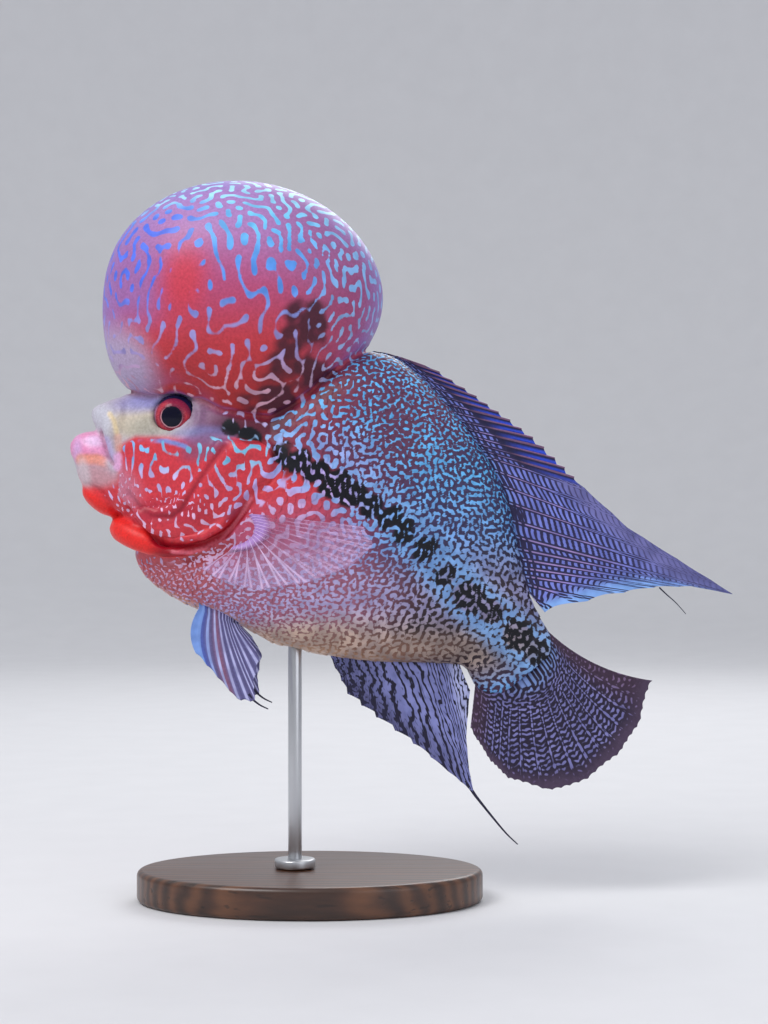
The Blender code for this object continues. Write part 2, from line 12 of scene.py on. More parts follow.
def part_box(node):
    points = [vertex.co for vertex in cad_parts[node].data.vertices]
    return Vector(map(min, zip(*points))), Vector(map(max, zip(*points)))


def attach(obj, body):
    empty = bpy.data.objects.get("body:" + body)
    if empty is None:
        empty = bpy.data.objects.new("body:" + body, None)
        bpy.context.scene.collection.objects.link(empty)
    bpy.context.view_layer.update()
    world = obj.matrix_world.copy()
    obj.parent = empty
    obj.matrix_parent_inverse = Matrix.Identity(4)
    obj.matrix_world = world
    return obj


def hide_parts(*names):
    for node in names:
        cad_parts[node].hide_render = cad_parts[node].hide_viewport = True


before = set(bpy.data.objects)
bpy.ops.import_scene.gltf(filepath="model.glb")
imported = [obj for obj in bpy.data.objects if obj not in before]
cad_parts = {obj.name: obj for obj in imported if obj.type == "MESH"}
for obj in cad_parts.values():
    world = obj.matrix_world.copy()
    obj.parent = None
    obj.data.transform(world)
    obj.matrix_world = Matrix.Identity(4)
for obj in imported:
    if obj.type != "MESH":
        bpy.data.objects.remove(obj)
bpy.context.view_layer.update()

# The stand's foot is an oval plate of dark walnut, cut from one board with its grain along the fish.
# Its top edge is rounded over with a router, and it has a satin varnish. The steel rod is glued into it.
MM = 0.001


def linear(red, green, blue):
    """A colour given as it looks on a screen, 0 to 255, as the shader's own numbers."""
    shown = (red / 255, green / 255, blue / 255)
    return tuple(((c + 0.055) / 1.055) ** 2.4 if c > 0.04 else c / 12.92 for c in shown)


class Tone:
    """A value on its way through a material. Sums and products add their Math nodes."""

    def __init__(self, finish, socket):
        self.finish = finish
        self.socket = socket

    def _join(self, operation, first, second):
        node = self.finish.node("ShaderNodeMath", {"operation": operation}, [first, second])
        return node.tone()

    def __add__(self, other):
        return self._join("ADD", self, other)

    def __radd__(self, other):
        return self._join("ADD", other, self)

    def __sub__(self, other):
        return self._join("SUBTRACT", self, other)

    def __rsub__(self, other):
        return self._join("SUBTRACT", other, self)

    def __mul__(self, other):
        return self._join("MULTIPLY", self, other)

    def __rmul__(self, other):
        return self._join("MULTIPLY", other, self)

    def step(self, low, high):
        """Rises smoothly from 0 at low to 1 at high."""
        return self.finish.node(
            "ShaderNodeMapRange",
            {"interpolation_type": "SMOOTHSTEP"},
            {"Value": self, "From Min": low, "From Max": high},
        ).tone("Result")


class Made:
    """A node that has been added, and its outputs."""

    def __init__(self, finish, node):
        self.finish = finish
        self.node = node

    def tone(self, output=0):
        return Tone(self.finish, self.node.outputs[output])


class Finish:
    """A material that is put together from nodes round one Principled shader."""

    def __init__(self, name, **constants):
        self.material = bpy.data.materials.new(name)
        self.material.use_nodes = True
        self.tree = self.material.node_tree
        self.shader = self.tree.nodes["Principled BSDF"]
        for socket, value in constants.items():
            self.shader.inputs[socket.replace("_", " ")].default_value = value

    def node(self, kind, settings=None, values=None):
        """Adds a node: its settings first, then each socket's value or link."""
        node = self.tree.nodes.new(kind)
        for key, value in (settings or {}).items():
            if key == "stops":
                elements = node.color_ramp.elements
                while len(elements) < len(value):
                    elements.new(0.5)
                for stop, (at, colour) in zip(elements, value):
                    stop.position = at
                    stop.color = (*colour, 1.0)
            else:
                setattr(node, key, value)
        pairs = values.items() if isinstance(values, dict) else enumerate(values or ())
        for key, value in pairs:
            self.link(value, node.inputs[key])
        return Made(self, node)

    def link(self, value, socket):
        if isinstance(value, Tone):
            self.tree.links.new(value.socket, socket)
        elif socket.type == "RGBA" and len(value) == 3:
            socket.default_value = (*value, 1.0)
        else:
            socket.default_value = value

    def feed(self, **values):
        for socket, value in values.items():
            self.link(value, self.shader.inputs[socket.replace("_", " ")])

    def place(self, stretch=(1.0, 1.0, 1.0)):
        """The surface's own place in metres, squeezed along each axis."""
        spot = self.node("ShaderNodeTexCoord").tone("Object")
        return self.node("ShaderNodeMapping", None, {"Vector": spot, "Scale": stretch}).tone()

    def noise(self, scale, detail=2.0, stretch=(1.0, 1.0, 1.0), roughness=0.5):
        return self.node(
            "ShaderNodeTexNoise",
            None,
            {"Vector": self.place(stretch), "Scale": scale, "Detail": detail, "Roughness": roughness},
        ).tone()

    def mix(self, share, first, second, blend="MIX"):
        """Two colours mixed by a share."""
        node = self.node("ShaderNodeMix", {"data_type": "RGBA", "blend_type": blend})
        for key, value in ((0, share), (6, first), (7, second)):
            self.link(value, node.node.inputs[key])
        return node.tone(2)

    def attribute(self, name, output="Fac"):
        return self.node("ShaderNodeAttribute", {"attribute_name": name}).tone(output)

    def bump(self, height, depth, strength=1.0):
        """A Bump node: depth in metres is how far height 1 stands over height 0."""
        values = {"Height": height, "Distance": depth, "Strength": strength}
        self.feed(Normal=self.node("ShaderNodeBump", None, values).tone())


def settle(piece, name, material, nodes=()):
    """Names a finished piece, gives it its material, hangs it under the root body and hides the solids it
    stands for.
    """
    piece.name = name
    piece.data.name = name
    piece.data.materials.clear()
    piece.data.materials.append(material)
    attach(piece, "root")
    if nodes:
        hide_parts(*nodes)


def apply_all(piece, sharp=math.radians(40)):
    """Applies the piece's place and modifiers, and shades it smooth between its sharp edges."""
    bpy.ops.object.select_all(action="DESELECT")
    piece.select_set(True)
    bpy.context.view_layer.objects.active = piece
    bpy.ops.object.transform_apply(location=True, rotation=True, scale=True)
    for modifier in list(piece.modifiers):
        bpy.ops.object.modifier_apply(modifier=modifier.name)
    bpy.ops.object.shade_smooth_by_angle(angle=sharp)


def box_middle(node):
    low, high = (Vector(corner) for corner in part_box(node))
    return (low + high) / 2, high - low


def rounded_disc(node, around, edge, segments):
    """A cylinder that fills the node's box, with both rims rounded over by edge."""
    middle, size = box_middle(node)
    bpy.ops.object.select_all(action="DESELECT")
    bpy.ops.mesh.primitive_cylinder_add(vertices=around, radius=0.5, depth=1.0, location=middle)
    piece = bpy.context.active_object
    piece.scale = size
    bpy.ops.object.transform_apply(location=True, rotation=True, scale=True)
    rounding = piece.modifiers.new("rounding", "BEVEL")
    rounding.width = edge
    rounding.segments = segments
    rounding.limit_method = "ANGLE"
    apply_all(piece)
    return piece


foot = rounded_disc("stand_base", 160, 2.6 * MM, 6)
walnut = Finish("walnut", Roughness=0.34, Coat_Weight=0.25, Coat_Roughness=0.2)
board = walnut.noise(26.0, 4.0, (1.0, 7.0, 7.0), 0.6)
pores = walnut.noise(420.0, 2.0, (0.06, 1.0, 1.0))
rings = walnut.node(
    "ShaderNodeTexWave",
    {"bands_direction": "Y"},
    {
        "Vector": walnut.place((1.0, 6.0, 6.0)),
        "Scale": 9.0,
        "Distortion": 9.0,
        "Detail": 3.0,
        "Detail Scale": 0.6,
    },
).tone("Fac")
grain = walnut.node(
    "ShaderNodeValToRGB",
    {"stops": [(0.15, linear(38, 22, 15)), (0.5, linear(74, 44, 28)), (0.9, linear(108, 68, 42))]},
    [0.55 * board + 0.45 * rings],
).tone("Color")
walnut.feed(Base_Color=walnut.mix(pores.step(0.62, 0.7) * 0.6, grain, linear(26, 15, 10)))
walnut.feed(Roughness=0.3 + 0.14 * board)
walnut.bump(pores.step(0.7, 0.6), 0.06 * MM)
settle(foot, "foot", walnut.material, ["stand_base"])

# The rod is a 6 mm bar of stainless steel that goes up into the belly, and the collar where it
# leaves the wood is turned from the same steel. Both are brushed, the rod lengthwise.
rod = rounded_disc("stand_rod", 48, 0.3 * MM, 2)
collar = rounded_disc("stand_collar", 96, 0.9 * MM, 4)
steel = Finish("brushed_steel", Metallic=1.0, Base_Color=(0.55, 0.56, 0.58, 1.0))
brushing = steel.noise(900.0, 2.0, (1.0, 1.0, 0.02))
steel.feed(Roughness=0.24 + 0.16 * brushing)
steel.bump(brushing, 0.02 * MM)
settle(rod, "rod", steel.material, ["stand_rod"])
settle(collar, "collar", steel.material, ["stand_collar"])

# The fish's whole body is one living skin, from the lips over the hump to the root of the tail.
# It is drawn over the solids of flesh: their copies are joined, remeshed as one and smoothed,
# and then the folds of the face are pressed in as a sculptor would.
FLESH = (
    "trunk",
    "tail_stalk",
    "kok",
    "head",
    "gill_cover_left",
    "gill_cover_right",
    "upper_jaw",
    "lower_jaw",
    "chin_pad",
    "gill_roll",
)
SEAM_OVERLAP = 0.22  # each solid grows by this, so that the gaps between them close
SKIN_VOXEL = 0.86


def mesh_points(mesh):
    points = np.empty(len(mesh.vertices) * 3, np.float32)
    mesh.vertices.foreach_get("co", points)
    return points.reshape(-1, 3).astype(float) / MM


def mesh_normals(mesh):
    normals = np.empty(len(mesh.vertices) * 3, np.float32)
    mesh.vertex_normals.foreach_get("vector", normals)
    return normals.reshape(-1, 3).astype(float)


def set_points(mesh, points):
    mesh.vertices.foreach_set("co", (points * MM).astype(np.float32).ravel())
    mesh.update()


def set_values(mesh, name, values):
    """Stores one number or one colour for each vertex."""
    if values.ndim == 1:
        layer = mesh.attributes.new(name, "FLOAT", "POINT")
        layer.data.foreach_set("value", values.astype(np.float32))
    else:
        layer = mesh.attributes.new(name, "FLOAT_COLOR", "POINT")
        colours = np.ones((len(values), 4), np.float32)
        colours[:, :3] = values
        layer.data.foreach_set("color", colours.ravel())


def new_piece(mesh, name):
    piece = bpy.data.objects.new(name, mesh)
    bpy.context.collection.objects.link(piece)
    return piece


def new_mesh(name, points, faces):
    """A mesh from places in millimetres and the corners of each face."""
    mesh = bpy.data.meshes.new(name)
    mesh.from_pydata((np.reshape(points, (-1, 3)) * MM).tolist(), [], faces)
    return mesh


def joined_flesh():
    """One mesh of all the solids of flesh, and the name of the solid each face comes from."""
    joined = bmesh.new()
    owners = []
    for index, node in enumerate(FLESH):
        own = bmesh.new()
        own.from_mesh(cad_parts[node].data)
        bmesh.ops.remove_doubles(own, verts=own.verts, dist=0.01 * MM)
        own.normal_update()
        moves = [vert.normal * SEAM_OVERLAP * MM for vert in own.verts]
        for vert, move in zip(own.verts, moves):
            vert.co += move
        owners += [index] * len(own.faces)
        mesh = bpy.data.meshes.new(node + "_copy")
        own.to_mesh(mesh)
        own.free()
        joined.from_mesh(mesh)
    mesh = bpy.data.meshes.new("flesh")
    joined.to_mesh(mesh)
    tree = BVHTree.FromBMesh(joined)
    joined.free()
    return mesh, tree, np.array(owners)


class Web:
    """The mesh's vertices, each with its neighbours, along which values spread."""

    def __init__(self, mesh):
        count = len(mesh.vertices)
        ends = np.empty(len(mesh.edges) * 2, np.int32)
        mesh.edges.foreach_get("vertices", ends)
        ends = ends.reshape(-1, 2)
        pairs = np.concatenate([ends, ends[:, ::-1]])
        pairs = pairs[np.argsort(pairs[:, 0], kind="stable")]
        degree = np.bincount(pairs[:, 0], minlength=count)
        start = np.cumsum(degree) - degree
        rank = np.arange(len(pairs)) - start[pairs[:, 0]]
        self.near = np.tile(np.arange(count), (degree.max(), 1))
        self.near[rank, pairs[:, 0]] = pairs[:, 1]
        self.known = np.arange(degree.max())[:, None] < degree[None, :]
        self.plain = self.known / degree

    def spread(self, values, rate, steps, weights=None):
        """Lets values flow to their neighbours; rate is 0 to 1 for each vertex."""
        weights = self.plain if weights is None else weights
        if values.ndim > 1:
            weights = weights[..., None]
            rate = np.broadcast_to(rate, len(values))[:, None]
        for _ in range(steps):
            mean = weights[0] * values[self.near[0]]
            for share, near in zip(weights[1:], self.near[1:]):
                mean += share * values[near]
            values = values + rate * (mean - values)
        return values

    def along(self, points, direction, strength):
        """Weights that let values flow further along a direction than across it."""
        parts = []
        for near, known in zip(self.near, self.known):
            edge = points[near] - points
            length = np.maximum(np.linalg.norm(edge, axis=1), 1e-6)
            cosine = np.einsum("ij,ij->i", edge, direction) / length
            parts.append(known * np.maximum(1 + strength * (2 * cosine**2 - 1), 0.05))
        parts = np.array(parts)
        return parts / parts.sum(axis=0)


def largest_shell(piece):
    """Parts the mesh into its loose shells and keeps the largest."""
    bpy.ops.object.select_all(action="DESELECT")
    piece.select_set(True)
    bpy.context.view_layer.objects.active = piece
    bpy.ops.mesh.separate(type="LOOSE")
    shells = sorted(bpy.context.selected_objects, key=lambda ob: len(ob.data.vertices))
    for shell in shells[:-1]:
        bpy.data.objects.remove(shell)
    return shells[-1]


flesh_mesh, flesh_tree, flesh_owner = joined_flesh()
skin = new_piece(flesh_mesh, "skin")
remesh = skin.modifiers.new("remesh", "REMESH")
remesh.mode = "VOXEL"
remesh.voxel_size = SKIN_VOXEL * MM
apply_all(skin)
skin = largest_shell(skin)
web = Web(skin.data)
place = mesh_points(skin.data)
owner = np.array([flesh_owner[flesh_tree.find_nearest(Vector(p))[2]] for p in (place * MM).tolist()])
share = web.spread(np.eye(len(FLESH))[owner], 0.9, 8)
of_part = dict(zip(FLESH, share.T))
of_cover = of_part["gill_cover_left"] + of_part["gill_cover_right"]
of_jaws = of_part["upper_jaw"] + of_part["lower_jaw"]
of_body = of_part["trunk"] + of_part["tail_stalk"]

# How strongly each part is smoothed; its edge with the next part keeps its crease
SMOOTHING = {
    "trunk": 0.85,
    "tail_stalk": 0.3,
    "kok": 0.9,
    "head": 0.12,
    "gill_cover_left": 0.07,
    "gill_cover_right": 0.07,
    "upper_jaw": 0.05,
    "lower_jaw": 0.05,
    "chin_pad": 0.06,
    "gill_roll": 0.1,
}
CREASE_SMOOTHING = 0.06
SMOOTHING_STEPS = 100


def ramp(value, low, high):
    """Rises smoothly from 0 at low to 1 at high."""
    t = np.clip((value - low) / (high - low), 0, 1)
    return t * t * (3 - 2 * t)


groups = np.stack([of_part["kok"], of_body, of_cover, of_part["head"] + of_jaws, of_part["gill_roll"]])
border = 1 - (groups**2).sum(axis=0) / np.maximum(groups.sum(axis=0), 0.01) ** 2
softness = sum(of_part[name] * rate for name, rate in SMOOTHING.items())
softness *= 1 - 0.6 * of_body * ramp(place[:, 0], 50, 95)
softness += (CREASE_SMOOTHING - softness) * ramp(border, 0.02, 0.3)
smoothed = web.spread(place, softness, SMOOTHING_STEPS)
place = smoothed + web.spread(place - smoothed, softness, SMOOTHING_STEPS)
set_points(skin.data, place)
normal = mesh_normals(skin.data)


def path_distance(points, path):
    """Each point's distance in the side view from a line through the given places."""
    flat = points[:, (0, 2)]
    best = np.full(len(points), 1e9)
    for start, end in zip(path, path[1:]):
        start, end = np.array(start, float), np.array(end, float)
        along = end - start
        t = np.clip((flat - start) @ along / (along @ along), 0, 1)
        best = np.minimum(best, np.linalg.norm(flat - start - t[:, None] * along, axis=1))
    return best


PX = 0.44  # millimetres in the fish's plane for one pixel of the photograph
SIGHT = (384, 512, 32.56, 170.72)  # the photograph's middle: its pixel, and its place in the side view
FLANK_OUT = 20.0  # the flank and cheek are this much nearer the camera than the fish's plane


def in_photo(*pixels, out=FLANK_OUT):
    """Places in the side view, in millimetres, from the photograph's pixels."""
    column, row, x, z = SIGHT
    scale = PX * (1 - out * MM)
    return [(x + (px - column) * scale, z - (py - row) * scale) for px, py in pixels]


def inside_outline(points, outline):
    """True for the points inside a closed outline of the side view."""
    x, z = points[:, 0], points[:, 2]
    inside = np.zeros(len(points), bool)
    for (x0, z0), (x1, z1) in zip(outline, outline[1:] + outline[:1]):
        if z0 != z1:
            inside ^= ((z0 > z) != (z1 > z)) & (x < x0 + (z - z0) / (z1 - z0) * (x1 - x0))
    return inside


# The gill cover's free edge, from its top round to the chin, and the cheek that closes its outline
COVER_EDGE = in_photo(
    (244, 440), (260, 441), (270, 449), (276, 463), (271, 476), (257, 488), (246, 500), (236, 513),
    (222, 530), (205, 540), (186, 543), (168, 541), (152, 533), (138, 520), (127, 506), (116, 494),
)
CHEEK_INSIDE = in_photo((120, 455), (200, 430))
COVER_RAISED = 2.2
SLIT_DEPTH = 3.2
CHEEK_GROOVE = in_photo(
    (226, 446), (208, 470), (193, 492), (182, 510), (172, 517), (154, 516), (141, 508), (128, 494),
)
MOUTH_LINE = in_photo((97, 431), (101, 443), (105, 455), (111, 464))
# Folds of the face: the line each follows, its half-width, how deep it is (below 0 it stands up),
# and whether it goes right round the snout
FOLDS = (
    (CHEEK_GROOVE, 1.3, 1.5, False),
    (
        in_photo((238, 452), (222, 470), (206, 492), (194, 516), (178, 529), (160, 528), (142, 514)),
        4.4, -1.1, False,
    ),
    (in_photo((214, 447), (198, 470), (182, 492), (168, 505), (148, 500)), 4.0, -0.5, False),
    (MOUTH_LINE, 0.75, 1.7, True),
    (in_photo((107, 411), (112, 424), (112, 440), (113, 462)), 0.6, 0.8, False),
    (in_photo((101, 418), (104, 432), (107, 448)), 1.5, -0.6, True),
    (in_photo((112, 416), (116, 428), (118, 446)), 0.8, -0.45, False),
    (in_photo((106, 402), (109, 406), (111, 412)), 0.8, 0.7, True),
    (in_photo((81, 441), (92, 446), (103, 446)), 0.7, 0.6, True),
    (in_photo((76, 440), (90, 438)), 1.3, -0.4, True),
    (in_photo((77, 457), (92, 456), (106, 459)), 1.2, 0.5, True),
    (in_photo((84, 484), (98, 491), (110, 511)), 0.8, 0.8, False),
    (in_photo((127, 508), (140, 523), (154, 536), (166, 544)), 0.8, 1.4, False),
    (in_photo((146, 408), (152, 411)), 0.8, 0.9, False),
    (in_photo((147, 404), (154, 407)), 0.9, -0.4, False),
    (in_photo((152, 421), (160, 434), (176, 440), (192, 436)), 1.6, 0.4, False),
    (
        in_photo((176, 553), (190, 554), (205, 549), (220, 541), (233, 528), (244, 512), (252, 499)),
        0.9, -0.9, False,
    ),
    (in_photo((190, 560), (210, 556), (228, 544)), 1.8, 0.8, False),
    (in_photo((262, 440), (272, 448), (279, 463), (274, 477), (262, 490)), 0.8, 1.3, False),
)
KOK_CREASE = 1.7
aside = ramp(np.abs(place[:, 1]), 2.0, 7.0) * ramp(np.abs(normal[:, 1]), 0.15, 0.5)
from_edge = path_distance(place, COVER_EDGE)
from_edge[~inside_outline(place, COVER_EDGE + CHEEK_INSIDE)] *= -1
pressed = np.zeros(len(place))
for path, width, depth, all_round in FOLDS:
    pressed += depth * np.exp(-((path_distance(place, path) / width) ** 2)) * (1.0 if all_round else aside)
low_edge = 1 - ramp(place[:, 2], 196, 202)  # the gill cover's top corner lies flat
rolled = ramp(from_edge, -0.4, 1.1) * np.exp(-((np.maximum(from_edge, 0) / 8.0) ** 2))
pressed -= COVER_RAISED * rolled * aside * low_edge * ramp(place[:, 0], -82, -70)
slit = ramp(-from_edge, 0.0, 1.0) * (1 - ramp(-from_edge, 2.6, 5.0)) * low_edge
slit *= ramp(place[:, 0], -71, -63) * (1 - of_part["kok"]) * (1 - ramp(place[:, 2], 165, 180))
scaled = of_body * (1 - ramp(from_edge, -6.0, -4.5))
pressed += SLIT_DEPTH * slit * aside
kok_border = 4 * of_part["kok"] * (1 - of_part["kok"])
pressed += KOK_CREASE * kok_border**2
eye_at = np.array(box_middle("eye_left")[0]) / MM
from_eye = np.hypot(place[:, 0] - eye_at[0], place[:, 2] - eye_at[2])
pressed -= 0.8 * np.exp(-(((from_eye - 11.2) / 1.5) ** 2)) * aside
place = place - normal * pressed[:, None]
place = web.spread(place, 0.25 * (1 - of_body) + 0.05, 2)
set_points(skin.data, place)
normal = mesh_normals(skin.data)

# The markings are in the skin itself: a ground colour from scarlet to slate and cream, and over it
# pearls, the pale iridescent worms and dots. Pigment cells that call each other up close by and
# hold each other down further off grow such worms, and the same sum is grown here on the skin.
X, Z = place[:, 0], place[:, 2]
level = np.clip(normal[:, 2], -1, 1)
middle = 1 - np.abs(normal[:, 1])  # 1 along the ridge of the back, 0 where the skin faces sideways


def patch(x, z, wide, high=None, turn=0.0, soft=0.5):
    """1 inside an ellipse of the side view and 0 outside, fading over its soft edge."""
    cx, cz = in_photo((x, z))[0]
    c, s = math.cos(math.radians(turn)), math.sin(math.radians(turn))
    dx, dz = X - cx, Z - cz
    reach = np.hypot((dx * c + dz * s) / wide, (dz * c - dx * s) / (high or wide))
    return 1 - ramp(reach, 1 - soft, 1 + soft)


def band(pixels, half, soft):
    """1 near a line of the side view, fading from half to half + soft millimetres away."""
    return 1 - ramp(path_distance(place, in_photo(*pixels)), half, half + soft)


def paint(layer, value, share):
    """Lays a colour or a number over what is there, by its share at each place on the skin."""
    share = share if layer.ndim == 1 else share[:, None]
    layer += share * (np.array(value) - layer)


dice = np.random.default_rng(11)


def chance(steps):
    """Soft random blotches over the skin; more steps make them larger."""
    spots = web.spread(dice.uniform(-1, 1, len(place)), 0.9, steps)
    return spots / spots.std()


blotches = chance(14)
clouds = chance(120)

SCARLET = linear(214, 54, 48)
MAROON = linear(96, 54, 84)
PLUM = linear(60, 52, 90)
SLATE = linear(44, 48, 82)
UMBER = linear(50, 38, 44)
LILAC = linear(148, 122, 194)
PALE_LILAC = linear(176, 164, 196)
CREAM = linear(200, 188, 162)
PEACH = linear(216, 176, 144)
BLACK = linear(8, 10, 22)
SKY = linear(92, 172, 230)
ICE = linear(172, 224, 246)
COBALT = linear(84, 112, 226)

kok = of_part["kok"]
body = of_body
face = np.clip(of_part["head"] + of_cover + of_jaws + of_part["chin_pad"] + of_part["gill_roll"], 0, 1)
ground = np.zeros((len(place), 3)) + np.array(SCARLET)
pearl = np.zeros((len(place), 3)) + np.array(SKY)
length = np.full(len(place), 3.6)  # millimetres from one pearl to the next
plenty = np.full(len(place), -0.3)  # over 0 the pearls join up, under 0 they part into dots
thin = np.full(len(place), 0.35)  # over 0 the pearls are thinner than the ground between them
lie = np.tile((0.0, 0.0, 1.0), (len(place), 1))
lying = np.zeros(len(place))


# The flank, from the nape to the tail: maroon in front, slate behind and umber below. Each row of a
# table gives a colour or a number, the patch it covers and how strongly it covers it.
FLANK_GROUND = (
    (linear(134, 48, 70), (280, 412, 32, 18, 20), 1.0),
    (PLUM, (480, 520, 34, 60, -48), 1.0),
    (SLATE, (540, 600, 40, 45, -60), 1.0),
    (UMBER, (430, 636, 62, 30, 15), 1.0),
    (linear(206, 58, 66), (285, 505, 22, 20, 30), 1.0),
    (linear(180, 82, 112), (255, 570, 46, 22, 25), 1.0),
    (linear(198, 80, 90), (165, 575, 26, 22, 40), 1.0),
    (linear(172, 108, 132), (284, 604, 46, 22, 10), 0.85),
    (linear(174, 90, 100), (168, 590, 28, 15, 38), 0.75),
    (linear(154, 120, 106), (262, 650, 44, 9, 8), 0.75),
    (linear(150, 112, 96), (340, 656, 46, 8, 4), 0.8),
)
FLANK_PEARL = (
    (linear(124, 150, 214), (460, 600, 60, 40, -20), 0.7),
    (linear(138, 132, 168), (420, 632, 70, 26, 15), 1.0),
    (linear(150, 132, 126), (400, 662, 62, 14, 6), 1.0),
    (linear(180, 156, 216), (270, 520, 46, 30, 30), 1.0),
    (linear(196, 158, 192), (200, 585, 60, 24, 30), 1.0),
    (linear(184, 172, 216), (280, 612, 50, 22, 10), 1.0),
    (linear(196, 170, 156), (270, 652, 56, 13, 8), 1.0),
)
FLANK_LENGTH = (
    (5.2, (270, 410, 26, 16, 20), 1.0),
    (5.8, (280, 500, 26, 26, 30), 1.0),
    (3.1, (170, 578, 40, 22, 40), 1.0),
    (3.2, (270, 620, 60, 24, 10), 1.0),
    (3.9, (440, 640, 60, 26, 12), 1.0),
)
FLANK_THIN = (
    (0.7, (280, 412, 34, 20, 20), 1.0),
    (0.05, (430, 636, 66, 32, 15), 1.0),
    (0.0, (540, 600, 40, 45, -60), 1.0),
    (0.35, (270, 520, 46, 30, 30), 1.0),
    (0.45, (180, 580, 60, 26, 30), 1.0),
    (0.1, (286, 604, 42, 22, 10), 1.0),
    (0.0, (270, 652, 50, 12, 8), 1.0),
)
FLANK_PLENTY = (
    (0.3, (430, 636, 66, 32, 15), 1.0),
    (-0.5, (180, 580, 60, 26, 30), 1.0),
)
FLANK = (
    (ground, FLANK_GROUND),
    (pearl, FLANK_PEARL),
    (length, FLANK_LENGTH),
    (thin, FLANK_THIN),
    (plenty, FLANK_PLENTY),
)
paint(ground, MAROON, body)
for layer, spots in FLANK:
    for value, spot, share in spots:
        paint(layer, value, body * patch(*spot) * share)
paint(ground, PEACH, body * ramp(-level, 0.6, 0.9) * (1 - ramp(X, 10, 60)) * 0.7)
thin += body * 0.16 * clouds
paint(lie, (0.6, 0.0, 0.8), body)
paint(lying, 0.3, body)

# The black row along the flank, broken into blots, with its pale blue surround
ROW = (
    (226, 428), (262, 442), (300, 462), (350, 492), (400, 524), (432, 556), (470, 600), (530, 650),
    (548, 664),
)
BLOTS = (
    # where each is, its half-width and half-height in millimetres, its lean and its strength
    (232, 429, 4.2, 3.4, 0, 1.0), (250, 436, 5.8, 3.8, -20, 1.0), (281, 452, 4.8, 5.2, -60, 1.0),
    (299, 462, 5.2, 6.0, -60, 1.0), (317, 472, 4.8, 6.8, -58, 1.0), (335, 484, 5.2, 7.4, -55, 1.0),
    (353, 496, 5.0, 6.6, -55, 1.0), (371, 507, 4.4, 6.4, -50, 0.95), (389, 518, 4.4, 6.6, -50, 0.85),
    (406, 531, 4.6, 6.6, -45, 0.8), (424, 549, 4.8, 7.0, -40, 0.7), (446, 575, 4.6, 5.4, -40, 0.75),
    (470, 598, 8.0, 6.4, -30, 1.0), (492, 612, 5.6, 5.4, -30, 0.95), (520, 638, 7.4, 6.2, -45, 1.0),
    (541, 656, 6.6, 5.8, -45, 1.0),
)
row_distance = path_distance(place, in_photo(*ROW))
strength = np.zeros(len(place))
for column, row, wide, high, turn, force in BLOTS:
    strength = np.maximum(strength, force * patch(column, row, wide, high, turn, 0.45))
strength *= np.clip(of_body + of_part["head"] + 0.6 * of_cover + 0.7 * kok, 0, 1)
halo = body * (1 - ramp(row_distance, 6, 15)) * (1 - ramp(strength, 0.3, 0.8))
halo *= 0.6 + 0.4 * ramp(X, -30, 10)
paint(thin, -0.35, halo)
paint(pearl, linear(116, 162, 218), halo * 0.85)
black = np.clip(ramp(strength + 0.16 * blotches, 0.32, 0.62) * (1 - ramp(row_distance, 8, 11)), 0, 1)
paint(ground, BLACK, black)
paint(thin, 0.82, black)
paint(length, 4.4, black)
paint(lie, (0.25, 0.0, 1.0), black)
paint(lying, 0.55, black)

# The hump: scarlet sides with painted shade low down, mauve above, and a lilac rim over its ridge, brow and
# nape
paint(ground, linear(196, 58, 68), kok)
# Painted shade: the lower hump is darkened to a deep red.
paint(ground, linear(160, 36, 36), kok * (1 - ramp(Z, 216, 250)) * 0.85)
# Mauve and lilac over the top: partly the skin's own tint, partly a painted highlight of light from above.
paint(ground, linear(176, 88, 138), kok * ramp(Z, 240, 276) * 0.8)
paint(ground, linear(150, 112, 178), kok * ramp(-X, 54, 74) * ramp(Z, 242, 264) * 0.75)
paint(ground, linear(166, 132, 194), kok * ramp(Z + 0.2 * X, 260, 294) * 0.85)
paint(ground, linear(206, 62, 76), kok * patch(187, 284, 9, 14, -10, 0.7) * 0.85)
paint(ground, linear(148, 76, 122), kok * ramp(X + 0.25 * (Z - 260), -18, 20) * 0.7)
# The lilac rim over the ridge: partly the skin's own tint, partly a painted highlight.
ridge_tint_and_highlight = ramp(middle + 0.06 * clouds, 0.2, 0.8) * (0.75 + 0.25 * ramp(Z, 250, 300))
paint(ground, LILAC, kok * ridge_tint_and_highlight)
paint(ground, PALE_LILAC, kok * patch(118, 368, 15, 18, 25) * 0.9)
SMUDGES = (
    (306, 330, 10, 13, -20), (300, 362, 13, 13, 0), (272, 396, 14, 9, 20), (328, 388, 10, 8, 0),
    (236, 424, 10, 5, 25),
)
smudge = np.maximum.reduce([patch(*spot, 0.7) for spot in SMUDGES])
smudge = ramp(smudge * (0.85 + 0.3 * blotches), 0.25, 0.9)
paint(ground, linear(62, 22, 40), np.clip(kok * 1.2 + 0.5 * body, 0, 1) * smudge * 0.92)
paint(pearl, linear(88, 146, 228), kok)
